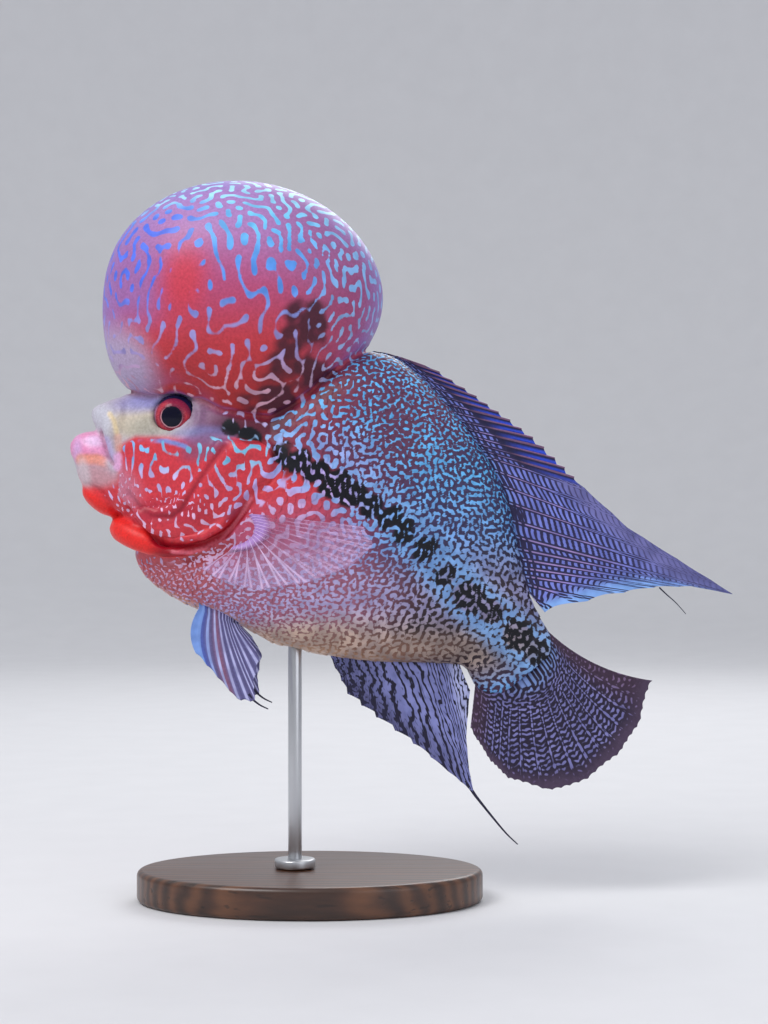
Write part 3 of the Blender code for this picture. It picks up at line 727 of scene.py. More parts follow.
# Pearls paler towards the top and where the hump faces up: partly their own tint, partly a painted
# highlight of light from above.
paint(pearl, linear(110, 190, 236), kok * ramp(Z, 272, 300) * ramp(X, -60, -20))
paint(pearl, ICE, kok * ramp(level, 0.5, 0.85) * 0.8)
paint(pearl, COBALT, kok * ramp(-X, 34, 62) * (1 - ramp(level, 0.5, 0.8)))
paint(pearl, linear(150, 140, 200), kok * (1 - ramp(Z, 246, 268)))
paint(pearl, linear(206, 150, 160), kok * (1 - ramp(Z, 224, 244)) * 0.8)
paint(pearl, linear(140, 180, 222), kok * ramp(X, -6, 16) * 0.7)
paint(length, 9.2, kok)
paint(length, 7.6, kok * ramp(-X, 52, 74))
paint(length, 5.9, kok * ramp(Z + 0.3 * X, 270, 290))
paint(length, 6.6, kok * ramp(X, -14, 12))
paint(length, 7.2, kok * (1 - ramp(Z, 228, 248)))
paint(plenty, -0.35, kok)
paint(plenty, -0.5, kok * ramp(Z + 0.3 * X, 268, 290))
paint(plenty, -0.15, kok * (1 - ramp(Z, 232, 262)))
paint(thin, 1.0, kok)
paint(thin, 0.45, kok * ramp(Z + 0.3 * X, 252, 286))
paint(thin, 1.12, kok * (1 - ramp(Z, 222, 250)))
paint(thin, 1.9, kok * patch(187, 284, 9, 13) * 0.9)
thin += kok * 0.22 * clouds
down = np.stack([-(X + 34) * 0.6, np.zeros(len(X)), -(Z - 205)], axis=1)
down /= np.linalg.norm(down, axis=1)[:, None]
paint(lie, down, kok)
paint(lying, 0.5, kok * (1 - ramp(level, 0.3, 0.7)))

# The face: pale snout, red cheeks and gill covers, pink lips, scarlet throat
outside = ramp(-from_edge, -0.3, 0.5) * (1 - body)
cover = ramp(from_edge, -0.3, 0.5) * (1 - body)
above_cheek = ramp(Z - np.interp(X, (-86, -75, -53, -38), (197, 204, 203, 204)), -1.8, 1.8)
paint(ground, linear(208, 58, 70), face)
paint(ground, linear(176, 44, 66), face * patch(165, 512, 20, 5, 0) * 0.7)
snout = face * np.maximum(above_cheek * (1 - ramp(X, -50, -34)), 1 - ramp(X, -85, -80))
snout *= 1 - outside * ramp(-Z, -190, -180)
paint(ground, linear(180, 170, 184), snout)
paint(ground, CREAM, snout * patch(133, 420, 12, 7, 10) * 0.85)
paint(ground, linear(166, 162, 148), snout * patch(150, 428, 10, 5) * 0.8)
paint(ground, linear(136, 134, 190), face * patch(160, 396, 20, 5, 12) * 0.9)
paint(ground, linear(118, 80, 118), face * patch(212, 420, 10, 9) * 0.85)
behind_eye = np.clip(face + body, 0, 1) * patch(252, 424, 16, 9, 10) * (1 - cover)
paint(ground, linear(62, 26, 48), behind_eye * 0.9)
paint(ground, linear(120, 128, 186), face * patch(205, 436, 12, 4) * 0.6)
row_start = black * np.clip(face + kok, 0, 1) * (1 - 0.6 * cover)
paint(ground, BLACK, row_start)
paint(ground, linear(122, 76, 112), face * patch(204, 447, 10, 5, 20) * 0.7)
# Painted shade: the cheek groove is darkened along its line, and keeps fewer pearls.
groove_shade = face * np.exp(-((path_distance(place, CHEEK_GROOVE) / 1.1) ** 2))
paint(ground, linear(136, 20, 44), groove_shade * 0.6)
paint(ground, linear(196, 196, 206), of_part["upper_jaw"] * patch(97, 420, 6, 8) * 0.9)
paint(ground, linear(176, 164, 208), face * band(((103, 440), (108, 456)), 1.2, 1.8) * 0.7)
cheekbone = band(((107, 413), (112, 420), (115, 432)), 0.5, 1.2)
paint(ground, linear(226, 204, 160), face * cheekbone * 0.8)
paint(ground, linear(214, 158, 136), face * band(((116, 437), (117, 447)), 1.0, 1.6) * 0.6)
paint(ground, linear(226, 170, 214), face * band(((116, 457), (116, 466)), 1.0, 2.0) * 0.8)
lip = of_part["lower_jaw"] + 0.5 * of_part["upper_jaw"] * ramp(-X, 92, 94)
paint(ground, linear(228, 138, 182), lip * patch(86, 446, 11, 7, 0, 0.35))
paint(ground, linear(224, 150, 190), of_part["lower_jaw"] * patch(96, 444, 6, 6, 0, 0.3) * 0.8)
# The pale inner lip: partly its own pale pink, partly a painted highlight.
paint(ground, linear(240, 202, 236), lip * patch(92, 440, 5.5, 2.4, 0, 0.6))
paint(ground, linear(206, 170, 214), lip * patch(73, 448, 2.2, 5.0, 0, 0.8) * 0.8)
paint(ground, linear(226, 146, 128), lip * band(((77, 459), (94, 459), (110, 464)), 1.4, 2.2))
muzzle = np.clip(lip + of_part["head"], 0, 1)
# Painted shade: a thin dark rose line along the mouth's crease.
mouth_crease_shade = 1 - ramp(path_distance(place, MOUTH_LINE), 0.4, 1.2)
mouth_crease_shade *= np.clip(of_jaws + of_part["head"], 0, 1)
paint(ground, linear(158, 96, 122), mouth_crease_shade * 0.6)
paint(ground, linear(196, 148, 156), muzzle * patch(93, 475, 8, 4.6, -12) * 0.9)
paint(ground, linear(206, 190, 196), muzzle * patch(80, 474, 3, 7, 10) * 0.8)
freckled = face * patch(112, 485, 12, 9, -35) * (1 - outside)
paint(ground, linear(196, 122, 146), freckled * 0.8)
throat = np.clip(of_part["chin_pad"] + of_part["gill_roll"] * outside, 0, 1)
paint(ground, linear(232, 44, 40), throat)
# The gill slit and the rear of the gill roll: deep crimson, partly the membrane's own red and partly
# painted shade.
slit_red_and_shade = np.clip(slit * 1.5, 0, 1) + outside * throat * ramp(X, -72, -62)
paint(ground, linear(156, 8, 30), np.clip(slit_red_and_shade, 0, 1))
gill_rim = band(
    ((172, 552), (190, 553), (205, 548), (220, 540), (233, 527), (244, 511), (252, 498)), 0.4, 0.8
)
paint(ground, linear(216, 104, 122), (1 - cover) * gill_rim * 0.8)
under_rim = (1 - cover) * body * band(((190, 561), (212, 556), (232, 544)), 1.5, 2.5)
paint(ground, linear(150, 40, 48), under_rim * 0.7)
under_eye = band(((139, 441), (152, 441), (166, 441), (178, 444), (187, 447)), 0.5, 0.9)
paint(ground, linear(112, 150, 218), face * under_eye * ramp(clouds, -1.2, -0.4) * 0.85)
paint(pearl, linear(196, 176, 222), face)
paint(pearl, linear(124, 172, 232), face * patch(150, 448, 22, 8))
paint(pearl, linear(118, 184, 220), face * patch(216, 450, 32, 9))
paint(pearl, linear(216, 176, 210), face * patch(170, 520, 40, 10))
paint(pearl, linear(222, 188, 218), freckled)
paint(length, 6.7, face)
paint(length, 5.8, cover * patch(245, 465, 22, 14))
paint(length, 3.0, freckled)
paint(length, 3.2, face * patch(165, 505, 24, 6, 0))
paint(length, 5.6, cover * patch(185, 530, 50, 8))
paint(plenty, -0.12, face)
paint(plenty, -0.75, face * patch(160, 500, 30, 9, 0))
paint(plenty, -0.6, np.clip(freckled + cover * patch(150, 525, 40, 10), 0, 1))
paint(thin, 1.25, face)
paint(thin, 0.95, cover * patch(245, 460, 26, 12))
thin += face * 0.15 * clouds
bare = np.clip(np.maximum.reduce([snout, throat, of_jaws, slit_red_and_shade]) - freckled, 0, 1)
paint(thin, 4.0, bare)
thin += 1.2 * groove_shade
paint(lie, (0.25, 0.0, 1.0), face)
paint(lying, 0.5, face)

# The pearls grow from chance dots by 24 rounds of calling up and holding down
CALL_STEPS = 6
HOLD_STEPS = 18
ROUNDS = 24
SHARPNESS = 6.0
PEARL_RATE = 128.3  # pearls grow at full rate where they are this many voxels apart, squared
rate = np.clip(length**2 / (PEARL_RATE * SKIN_VOXEL**2), 0.05, 1.0)
lie /= np.maximum(np.linalg.norm(lie, axis=1), 1e-6)[:, None]
weights = web.along(place, lie, np.clip(lying, 0, 0.8))


def grow_pearls(web, rate, plenty, weights, seed):
    state = np.random.default_rng(seed).uniform(-1, 1, len(rate))
    for _ in range(ROUNDS):
        call = web.spread(state, rate, CALL_STEPS, weights)
        hold = web.spread(call, rate, HOLD_STEPS, weights)
        grown = call - hold
        state = np.tanh(SHARPNESS * grown + plenty)
    return grown / grown.std()


grown = grow_pearls(web, rate, plenty, weights, 4)
set_values(skin.data, "ground", ground)
set_values(skin.data, "pearl_tone", pearl)
set_values(skin.data, "pearl", grown - thin)

# Under the scales the skin needs few faces, so it is thinned there and kept fine on the head
SKIN_TRIANGLES = 192000


def thinned(piece, triangles, weights):
    """Collapses edges where the weights are high until the whole has so many triangles."""
    corners = np.array([face.vertices[0] for face in piece.data.polygons])
    chosen = weights[corners] > 0.5
    kept = 2 * np.count_nonzero(~chosen)
    piece.data.polygons.foreach_set("select", chosen)
    bpy.ops.object.select_all(action="DESELECT")
    piece.select_set(True)
    bpy.context.view_layer.objects.active = piece
    bpy.ops.object.mode_set(mode="EDIT")
    bpy.context.tool_settings.mesh_select_mode = (False, False, True)
    bpy.ops.mesh.decimate(ratio=(triangles - kept) / (2 * np.count_nonzero(chosen)))
    bpy.ops.object.mode_set(mode="OBJECT")
    piece.data.shade_smooth()


fine = skin.data.copy()
thinned(skin, SKIN_TRIANGLES, scaled)


def living_skin(name, roughness):
    """Wet skin: the ground colour, the pearls over it, and fine unevenness."""
    finish = Finish(name, Specular_IOR_Level=0.22, Coat_Weight=0.14, Coat_Roughness=0.28)
    pearls = finish.attribute("pearl").step(-0.28, 0.28)
    mottle = finish.noise(900.0, 3.0)
    cloud = finish.noise(130.0, 2.0)
    ground = finish.attribute("ground", "Color")
    tone = finish.attribute("pearl_tone", "Color")
    grain = finish.mix(mottle, (0.62, 0.6, 0.62), (1.3, 1.3, 1.32))
    sheen = finish.mix(cloud.step(0.3, 0.7), (0.74, 0.76, 0.8), (1.3, 1.3, 1.25))
    shaded = finish.mix(0.9, ground, grain, "MULTIPLY")
    bright = finish.mix(0.8, tone, sheen, "MULTIPLY")
    finish.feed(Base_Color=finish.mix(pearls, shaded, bright))
    finish.feed(Roughness=roughness + 0.12 * mottle - 0.08 * pearls)
    finish.bump(0.5 * mottle + 0.3 * pearls, 0.12 * MM)
    return finish


hide = living_skin("living_skin", 0.4)
settle(skin, "skin", hide.material, FLESH)

# Trunk and tail carry bony scales like roof tiles: each grows from a pocket of skin, lies towards
# the tail and covers the roots of the next row. Each is a plate with a rounded, turned-down rim.
RINGS = (
    # along the back, along the belly, and half the body's width, section by section
    ((-32.0, 214.0), (-74.5, 158.0), 9.0),
    ((-26.5, 220.0), (-78.0, 152.0), 14.0),
    ((-4.5, 233.0), (-70.5, 140.0), 20.5),
    ((15.5, 240.5), (-53.0, 129.0), 26.5),
    ((31.0, 241.0), (-33.0, 122.0), 29.0),
    ((44.0, 234.0), (-12.5, 111.0), 28.0),
    ((57.0, 221.5), (8.0, 107.5), 25.5),
    ((70.5, 205.0), (26.5, 105.0), 21.0),
    ((81.5, 188.0), (44.0, 104.5), 17.0),
    ((88.5, 169.5), (57.0, 104.0), 13.5),
    ((92.5, 149.5), (67.0, 103.5), 10.5),
    ((97.0, 133.0), (69.5, 100.5), 8.0),
    ((102.0, 123.0), (71.5, 96.5), 5.7),
    ((105.5, 117.0), (75.0, 92.0), 3.8),
    ((107.0, 109.0), (84.5, 90.5), 2.6),
)
BEND_FROM = 20.0
BEND_TO = 188.0
BEND = 11.0
SCALE_PITCH = 4.7  # from one scale to the next, down the flank
SCALE_STEP = 3.5  # from one row to the next, towards the tail
SCALE_LENGTH = 7.4
SCALE_WIDTH = 5.7
SCALE_LIFT = 0.42  # how high the free rim stands over the skin
SCALE_DOME = 0.12  # how much higher still its middle stands than its sides
SCALE_ROOT_DEPTH = 0.04
SCALE_SKIRT = 0.1  # how far the rim turns down under the skin
UV_PATCH = 0.003
SCALE_ALONG = (0.0, 0.3, 0.46, 0.58, 0.68, 0.77, 0.85, 0.92, 0.97, 1.0)
SCALE_ACROSS = np.linspace(-1, 1, 9)


def bend(x):
    """How far the body has swung sideways at this length."""
    return BEND * (np.maximum(x - BEND_FROM, 0.0) / (BEND_TO - BEND_FROM)) ** 2


def smooth_rows(rows, steps):
    """Rows of numbers that pass smoothly through the given ones, with this many steps between."""
    rows = np.array(rows, float)
    ends = np.vstack([2 * rows[0] - rows[1], rows, 2 * rows[-1] - rows[-2]])
    found = []
    for before, start, end, after in zip(ends, ends[1:], ends[2:], ends[3:]):
        for t in np.arange(steps) / steps:
            cubic = 3 * start - before - 3 * end + after
            square = 2 * before - 5 * start + 4 * end - after
            found.append(start + 0.5 * t * (end - before + t * (square + t * cubic)))
    found.append(rows[-1])
    return np.array(found)


def ring_points(row, turn):
    """Places on a cross-section of the trunk, from its back (turn 0) down to its belly (turn pi)."""
    share = ((1 - np.cos(turn)) / 2) ** 1.1
    x = row[0] + (row[2] - row[0]) * share
    z = row[1] + (row[3] - row[1]) * share
    return np.stack([x, -row[4] * np.sin(turn) ** 0.9 + bend(x), z], axis=1)


def unit(vectors):
    return vectors / np.maximum(np.linalg.norm(vectors, axis=-1, keepdims=True), 1e-9)


class Surface:
    """The fine skin, to find the nearest place on it and the markings there."""

    def __init__(self, mesh, values):
        points = mesh_points(mesh)
        faces = [tuple(face.vertices) for face in mesh.polygons]
        self.tree = BVHTree.FromPolygons(points.tolist(), faces)
        self.corners = np.array([face[:4] if len(face) > 3 else (*face, face[2]) for face in faces])
        self.points = points
        self.values = values
        self.normals = mesh_normals(mesh)

    def nearest(self, places):
        """For each place: the point on the skin, its normal and its values."""
        hits = [self.tree.find_nearest(Vector(p)) for p in places.tolist()]
        found = np.array([hit[0] for hit in hits])
        corner = self.corners[[hit[2] for hit in hits]]
        away = np.linalg.norm(self.points[corner] - found[:, None], axis=2)
        share = 1 / np.maximum(away, 0.02) ** 2
        share /= share.sum(axis=1, keepdims=True)
        normals = unit((self.normals[corner] * share[..., None]).sum(axis=1))
        return found, normals, (self.values[corner] * share[..., None]).sum(axis=1)


def distance_along(points):
    """How far each point of a line is from its start."""
    return np.concatenate([[0], np.cumsum(np.linalg.norm(np.diff(points, axis=0), axis=1))])


def between(known, columns, at):
    """Each column's value at a place between the known ones."""
    return np.stack([np.interp(at, known, column) for column in columns.T], axis=-1)


def scale_roots(side):
    """Where each scale of one side grows, which way it lies, and its place on the flattened flank."""
    rows = smooth_rows([(*top, *bottom, half) for top, bottom, half in RINGS], 20)
    centres = (rows[:, 0:2] + rows[:, 2:4]) / 2
    run = distance_along(centres)
    count = int(run[-1] / SCALE_STEP)
    turn = np.linspace(0.06, math.pi - 0.06, 160)
    found = []
    for k in range(1, count):
        here = ring_points(between(run, rows, k * SCALE_STEP), turn)
        ahead = ring_points(between(run, rows, k * SCALE_STEP + 1.0), turn)
        down = distance_along(here)
        number = max(int(round(down[-1] / SCALE_PITCH)), 4)
        spots = (np.arange(number) + (0.25 if k % 2 else 0.75)) * down[-1] / number
        for spot in spots:
            root = between(down, here, spot)
            lies = between(down, ahead, spot) - root
            found.append((*root, *lies, k / count, spot / down[-1]))
    found = np.array(found)
    if side > 0:
        found[:, 1] = 2 * bend(found[:, 0]) - found[:, 1]
    return found[:, 0:3], unit(found[:, 3:6]), found[:, 6:8]


def grid_faces(index):
    """The four corners of each face in a grid of vertices."""
    corners = [index[..., :-1, :-1], index[..., 1:, :-1], index[..., 1:, 1:], index[..., :-1, 1:]]
    return np.stack(corners, axis=-1).reshape(-1, 4)


def make_scales(side, surface):
    """All the scales of one side as one mesh, with the skin's markings and a bake patch for each."""
    roots, lies, flat = scale_roots(side)
    roots, normals, _ = surface.nearest(roots)
    lies = unit(lies - normals * (lies * normals).sum(axis=1, keepdims=True))
    across = np.cross(normals, lies)
    along = np.array(SCALE_ALONG)
    # The plate widens from its root like a sine and closes behind in a round rim
    widening = 0.62 + 0.38 * np.sin(along * math.pi)
    fan = np.where(along < 0.5, widening, np.sqrt(1 - ((along - 0.5) / 0.53) ** 2))
    spread = (
        roots[:, None, None]
        + lies[:, None, None] * (along * SCALE_LENGTH)[None, :, None, None]
        + across[:, None, None] * (fan[:, None] * SCALE_ACROSS * SCALE_WIDTH / 2)[None, :, :, None]
    )
    shape = spread.shape
    found, out, values = surface.nearest(spread.reshape(-1, 3))
    found, out, values = (part.reshape(*shape[:3], -1) for part in (found, out, values))
    whole = values[..., -1].min(axis=(1, 2)) > 0.6
    found, out, values, flat = found[whole], out[whole], values[whole], flat[whole]
    dome = SCALE_DOME * (1 - SCALE_ACROSS[None, :] ** 2)
    lift = SCALE_LIFT * along[:, None] ** 1.2 + dome * along[:, None] - SCALE_ROOT_DEPTH
    plate = found + out * lift[None, :, :, None]
    skirt = found[:, -1:] - SCALE_SKIRT * out[:, -1:]
    plate = np.concatenate([plate, skirt], axis=1)
    values = np.concatenate([values, values[:, -1:]], axis=1)
    number, high, wide = plate.shape[:3]
    index = np.arange(number * high * wide).reshape(number, high, wide)
    mesh = new_mesh("scales", plate, grid_faces(index).tolist())
    flatten = values.reshape(-1, values.shape[-1])
    set_values(mesh, "ground", flatten[:, 0:3])
    set_values(mesh, "pearl_tone", flatten[:, 3:6])
    # Low on the flank each plate has its own pale heart, which joins the pearls
    reach = np.append(along, 1.0)
    heart = (reach[:, None] - 0.72) ** 2 / 0.05 + SCALE_ACROSS[None, :] ** 2 * 0.8
    heart = np.tile((0.9 - heart).reshape(1, -1), (number, 1)).ravel()
    tiled = flatten[:, 7]
    set_values(mesh, "pearl", flatten[:, 6] * (1 - 0.35 * tiled) + tiled * 0.55 * heart)
    corners = np.empty(len(mesh.loops), np.int32)
    mesh.loops.foreach_get("vertex_index", corners)
    spot = np.repeat(0.02 + 0.96 * flat, high * wide, axis=0)
    inside = np.stack(np.meshgrid(np.linspace(0, 1, high), np.linspace(0, 1, wide), indexing="ij"), axis=-1)
    spot = spot + UV_PATCH * (np.tile(inside.reshape(-1, 2), (number, 1)) - 0.5)
    layer = mesh.uv_layers.new(name="OFBake")
    layer.data.foreach_set("uv", spot[corners].astype(np.float32).ravel())
    mesh.shade_smooth()
    return new_piece(mesh, "scales")


low_flank = body * patch(430, 640, 70, 34, 15)
values = np.column_stack([ground, pearl, grown - thin, low_flank, scaled])
surface = Surface(fine, values)
plates = living_skin("scaled_skin", 0.42)
for side, name in ((-1, "scales_left"), (1, "scales_right")):
    settle(make_scales(side, surface), name, plates.material)

# Each eye is a slightly flattened ball that stands in its socket with a glossy cornea. The pupil
# is a deep navy lens with a thin pale glint below, and the iris is red with a dark brim above, which is
# painted shade.
PUPIL = 4.5
IRIS = 7.7
PUPIL_OFF = (-1.0, -0.8)  # how far the pupil's middle is from the eyeball's, along X and up
IRIS_OFF = (-0.5, -0.7)


def make_eye(side, node):
    middle, size = box_middle(node)
    bpy.ops.object.select_all(action="DESELECT")
    bpy.ops.mesh.primitive_uv_sphere_add(segments=96, ring_count=64, radius=0.5, location=middle)
    ball = bpy.context.active_object
    ball.scale = (size.x, size.z, size.y)
    ball.rotation_euler = (side * -math.pi / 2, 0.0, 0.0)
    apply_all(ball, math.pi)
    points = mesh_points(ball.data)
    off = points - np.array(middle) / MM
    from_pupil = np.hypot(off[:, 0] - PUPIL_OFF[0], off[:, 2] - PUPIL_OFF[1])
    from_iris = np.hypot(off[:, 0] - IRIS_OFF[0], off[:, 2] - IRIS_OFF[1])
    # The cornea swells over the pupil, and a fine groove parts the iris from the white of the eye
    swell = 0.5 * (1 - ramp(from_pupil, PUPIL, IRIS))
    swell -= 0.25 * np.exp(-(((from_iris - IRIS - 0.3) / 0.35) ** 2))
    points[:, 1] += side * swell * (off[:, 1] * side > 0)
    set_points(ball.data, points)
    set_values(ball.data, "from_pupil", from_pupil)
    set_values(ball.data, "from_iris", from_iris)
    set_values(ball.data, "above", off[:, 2] + 0.5 * off[:, 0])
    return ball


eye = Finish("wet_eye", Roughness=0.2, Specular_IOR_Level=0.12, Coat_Weight=0.2, Coat_Roughness=0.04)
uneven = 0.5 * (eye.noise(500.0, 2.0) - 0.5)
inner = eye.attribute("from_pupil") + uneven
outer = eye.attribute("from_iris") + 0.4 * uneven
height = eye.attribute("above")
fibres = eye.noise(1400.0, 2.0)
iris = eye.mix(inner.step(PUPIL, 6.4), linear(84, 14, 46), linear(190, 48, 66))
iris = eye.mix(outer.step(5.9, IRIS) * 0.7, iris, linear(120, 22, 50))
iris = eye.mix(fibres.step(0.35, 0.8) * 0.35, iris, linear(220, 110, 120))
iris = eye.mix(height.step(1.5, 5.5) * 0.7, iris, linear(110, 26, 66))
# Painted shade: outside the iris the eyeball is lilac below and dark navy above, under the brow.
rim = eye.mix(height.step(-2.0, 2.5), linear(150, 96, 128), linear(14, 18, 54))
iris = eye.mix(outer.step(IRIS - 0.1, IRIS + 0.35), iris, rim)
glint = inner.step(PUPIL - 0.15, PUPIL + 0.05) - inner.step(PUPIL + 0.25, PUPIL + 0.5)
painted = eye.mix(1 - inner.step(PUPIL - 0.1, PUPIL + 0.1), iris, linear(5, 5, 30))
painted = eye.mix(glint * (1 - height.step(-3.0, 2.0)) * 0.8, painted, linear(206, 150, 160))
eye.feed(Base_Color=painted)
for side, name in ((-1, "left"), (1, "right")):
    settle(make_eye(side, "eye_" + name), "eyeball_" + name, eye.material, ["eye_" + name])

# The fins are webs of thin skin on spines and soft, jointed rays that grow out of the body.
# Each is made as its rays lie, with a raised rib on every ray, and its own pearls between the rays.
FIN_PEARL_REACH = 6.54  # how many millimetres between pearls need a flow of 1 over all the calling steps
web_skin = living_skin("fin_skin", 0.45)


class FinWeb:
    """A fin's sheet as rows along its rays and columns across them, for the same spreading sum."""

    def __init__(self, points):
        self.across = np.linalg.norm(np.diff(points, axis=0), axis=2)
        self.along = np.linalg.norm(np.diff(points, axis=1), axis=2)
        self.across = np.pad(self.across, ((0, 1), (0, 0)), mode="edge")
        self.along = np.pad(self.along, ((0, 0), (0, 1)), mode="edge")

    def spread(self, values, rates, steps):
        for _ in range(steps):
            wide = np.pad(values, 1, mode="edge")
            values = (
                values
                + rates[0] * (wide[2:, 1:-1] + wide[:-2, 1:-1] - 2 * values)
                + rates[1] * (wide[1:-1, 2:] + wide[1:-1, :-2] - 2 * values)
            )
        return values


def grow_fin_pearls(points, length, stretch, plenty, seed):
    """Pearls on a fin. stretch over 1 draws them out along the rays."""
    web = FinWeb(points)
    reach = (length / FIN_PEARL_REACH) ** 2 / (2 * CALL_STEPS)
    rates = (
        np.clip(reach / stretch / np.maximum(web.across, 0.05) ** 2, 0.0, 0.24),
        np.clip(reach * stretch / np.maximum(web.along, 0.05) ** 2, 0.0, 0.24),
    )
    state = np.random.default_rng(seed).uniform(-1, 1, points.shape[:2])
    for _ in range(ROUNDS):
        call = web.spread(state, rates, CALL_STEPS)
        hold = web.spread(call, rates, HOLD_STEPS)
        grown = call - hold
        state = np.tanh(SHARPNESS * grown + plenty)
    return grown / grown.std()


class Fin:
    """A fin's middle sheet: columns from its first ray to its last, rows from root to rim."""

    def __init__(self, rays, columns, rows, sink, side=1, round_rim=False, bow=0.0):
        table = np.array([(*ray[0], *ray[1], *(ray[2:] or (0.0, 0.0))) for ray in rays])
        whole = np.arange(len(table))
        at = np.linspace(0, len(table) - 1, columns)
        fine = smooth_rows(table, 40)
        fine_at = np.linspace(0, len(table) - 1, len(fine))
        curved = between(fine_at, fine, at)
        tips = curved if round_rim else between(whole, table, at)
        self.root = np.stack([curved[:, 0], side * curved[:, 4], curved[:, 1]], axis=1)
        self.tip = np.stack([tips[:, 2], side * tips[:, 5], tips[:, 3]], axis=1)
        self.sink = np.array(sink)
        self.side = side
        self.across = np.linspace(0, 1, columns)  # 0 at the first ray, 1 at the last
        self.rows = rows
        self.bow = bow

    def lay(self, cut):
        """Places the sheet; cut is how much of each column's end is missing, in millimetres."""
        along = self.tip - self.root
        long = np.linalg.norm(along, axis=1)
        tip = self.tip - along * (np.minimum(cut, 0.45 * long) / np.maximum(long, 0.01))[:, None]
        self.out = np.linspace(0, 1, self.rows)
        points = self.root[:, None] + (tip - self.root)[:, None] * self.out[None, :, None]
        ahead = unit(np.stack([along[:, 2], np.zeros(len(along)), -along[:, 0]], axis=1))
        swell = self.bow * (1 - self.across) ** 2
        points += ahead[:, None] * (swell[:, None] * 4 * self.out * (1 - self.out))[..., None]
        self.points = points
        self.length = long

    def sheets(self, count):
        """How far across and out each place of the fin is, and its number counted in rays."""
        across, out = self.across[:, None], self.out[None, :]
        return across, out, count[:, None] + 0 * out

    def mesh(self, half, wave, colours, pearls, name, node, finish=web_skin, slot="fin_membrane", **more):
        """The closed sheet: half its thickness and its wave at each place, its colours and its pearls."""
        values = {"ground": colours[0], "pearl_tone": colours[1], "pearl": pearls, **more}
        inner = self.root + self.sink * np.array((1.0, self.side, 1.0))
        points = np.concatenate([inner[:, None], self.points], axis=1)
        half = np.concatenate([half[:, :1], half], axis=1)
        wave = np.concatenate([wave[:, :1] * 0, wave], axis=1)
        points[..., 1] += bend(points[..., 0]) + wave
        around = np.gradient(points, axis=0)
        down = np.gradient(points, axis=1)
        normal = unit(np.cross(around, down))
        normal *= np.where(normal[..., 1:2] > 0, 1, -1)
        left = points - normal * half[..., None]
        right = points + normal * half[..., None]
        wide, high = points.shape[:2]
        index = np.arange(wide * high).reshape(wide, high)
        quads = grid_faces(index)
        ring = np.concatenate([index[0, :], index[1:, -1], index[-1, -2::-1], index[-2:0:-1, 0]])
        after = np.roll(ring, -1)
        rim = np.stack([ring, after, after + wide * high, ring + wide * high], axis=-1)
        faces = np.concatenate([quads, quads[:, ::-1] + wide * high, rim])
        mesh = new_mesh(name, np.concatenate([left, right]), faces.tolist())
        for key, value in values.items():
            value = np.concatenate([value[:, :1], value], axis=1)
            flat = value.reshape(wide * high, -1) if value.ndim == 3 else value.ravel()
            set_values(mesh, key, np.concatenate([flat, flat]))
        piece = new_piece(mesh, name)
        bm = bmesh.new()
        bm.from_mesh(mesh)
        bmesh.ops.recalc_face_normals(bm, faces=bm.faces)
        if bm.calc_volume(signed=True) < 0:
            bmesh.ops.reverse_faces(bm, faces=bm.faces)
        bm.to_mesh(mesh)
        bm.free()
        mesh.shade_smooth()
        settle(piece, name, finish.material, [node])


def rib(number, sharp=0.16):
    """1 on a ray and 0 between two; number counts the rays."""
    return np.exp(-(((number - np.round(number)) / sharp) ** 2))


def forked(number, out, from_out=0.4, gap=0.17):
    """Soft rays fork on their way to the rim, so each rib parts into two."""
    apart = gap * np.clip((out - from_out) / (1 - from_out), 0, 1)
    off = number - np.round(number)
    return np.maximum(np.exp(-(((off - apart) / 0.1) ** 2)), np.exp(-(((off + apart) / 0.1) ** 2)))


def half_thick(out, ribs, web, root, reach, rise, fade, start=0.0):
    """Half a fin's thickness: stout from its root out to reach, then a web with ribs that sink."""
    return web + root * (1 - ramp(out, start, reach)) + rise * ribs * (1 - fade * out)


def fin_colours(fin, shades, shares):
    """Shades painted one over the other, each by its share at every place."""
    colours = np.zeros((*fin.points.shape[:2], 3)) + np.array(shades[0])
    for shade, share in zip(shades[1:], shares):
        share = np.broadcast_to(share, colours.shape[:2])[..., None]
        colours = colours + share * (np.array(shade) - colours)
    return colours


def fin_chance(points, steps, seed):
    """Soft random unevenness over a fin, about 1 high."""
    spots = np.random.default_rng(seed).uniform(-1, 1, points.shape[:2])
    spots = FinWeb(points).spread(spots, (0.24, 0.24), steps)
    return spots / spots.std()


def ray_spacing(number, points):
    """Millimetres from one ray to the next, at every place."""
    return FinWeb(points).across / np.maximum(np.gradient(number, axis=0), 1e-6)


def ray_distance(number, points, out, from_out=0.35, gap=0.2):
    """Millimetres to the nearest ray or branch of a ray, at every place."""
    apart = gap * np.clip((out - from_out) / (1 - from_out), 0, 1)
    off = number - np.round(number)
    return np.minimum(np.abs(off - apart), np.abs(off + apart)) * ray_spacing(number, points)


def crossbars(number, run, spacing, half, arch=0.0):
    """1 on the dark bars across the strip between two rays; neighbouring strips are out of step."""
    strip = np.floor(number)
    arched = arch * (2 * (number - strip) - 1) ** 2
    return rib(run / spacing + 0.5 * (strip % 2) + 0.23 * np.sin(strip * 12.9) + arched, half)


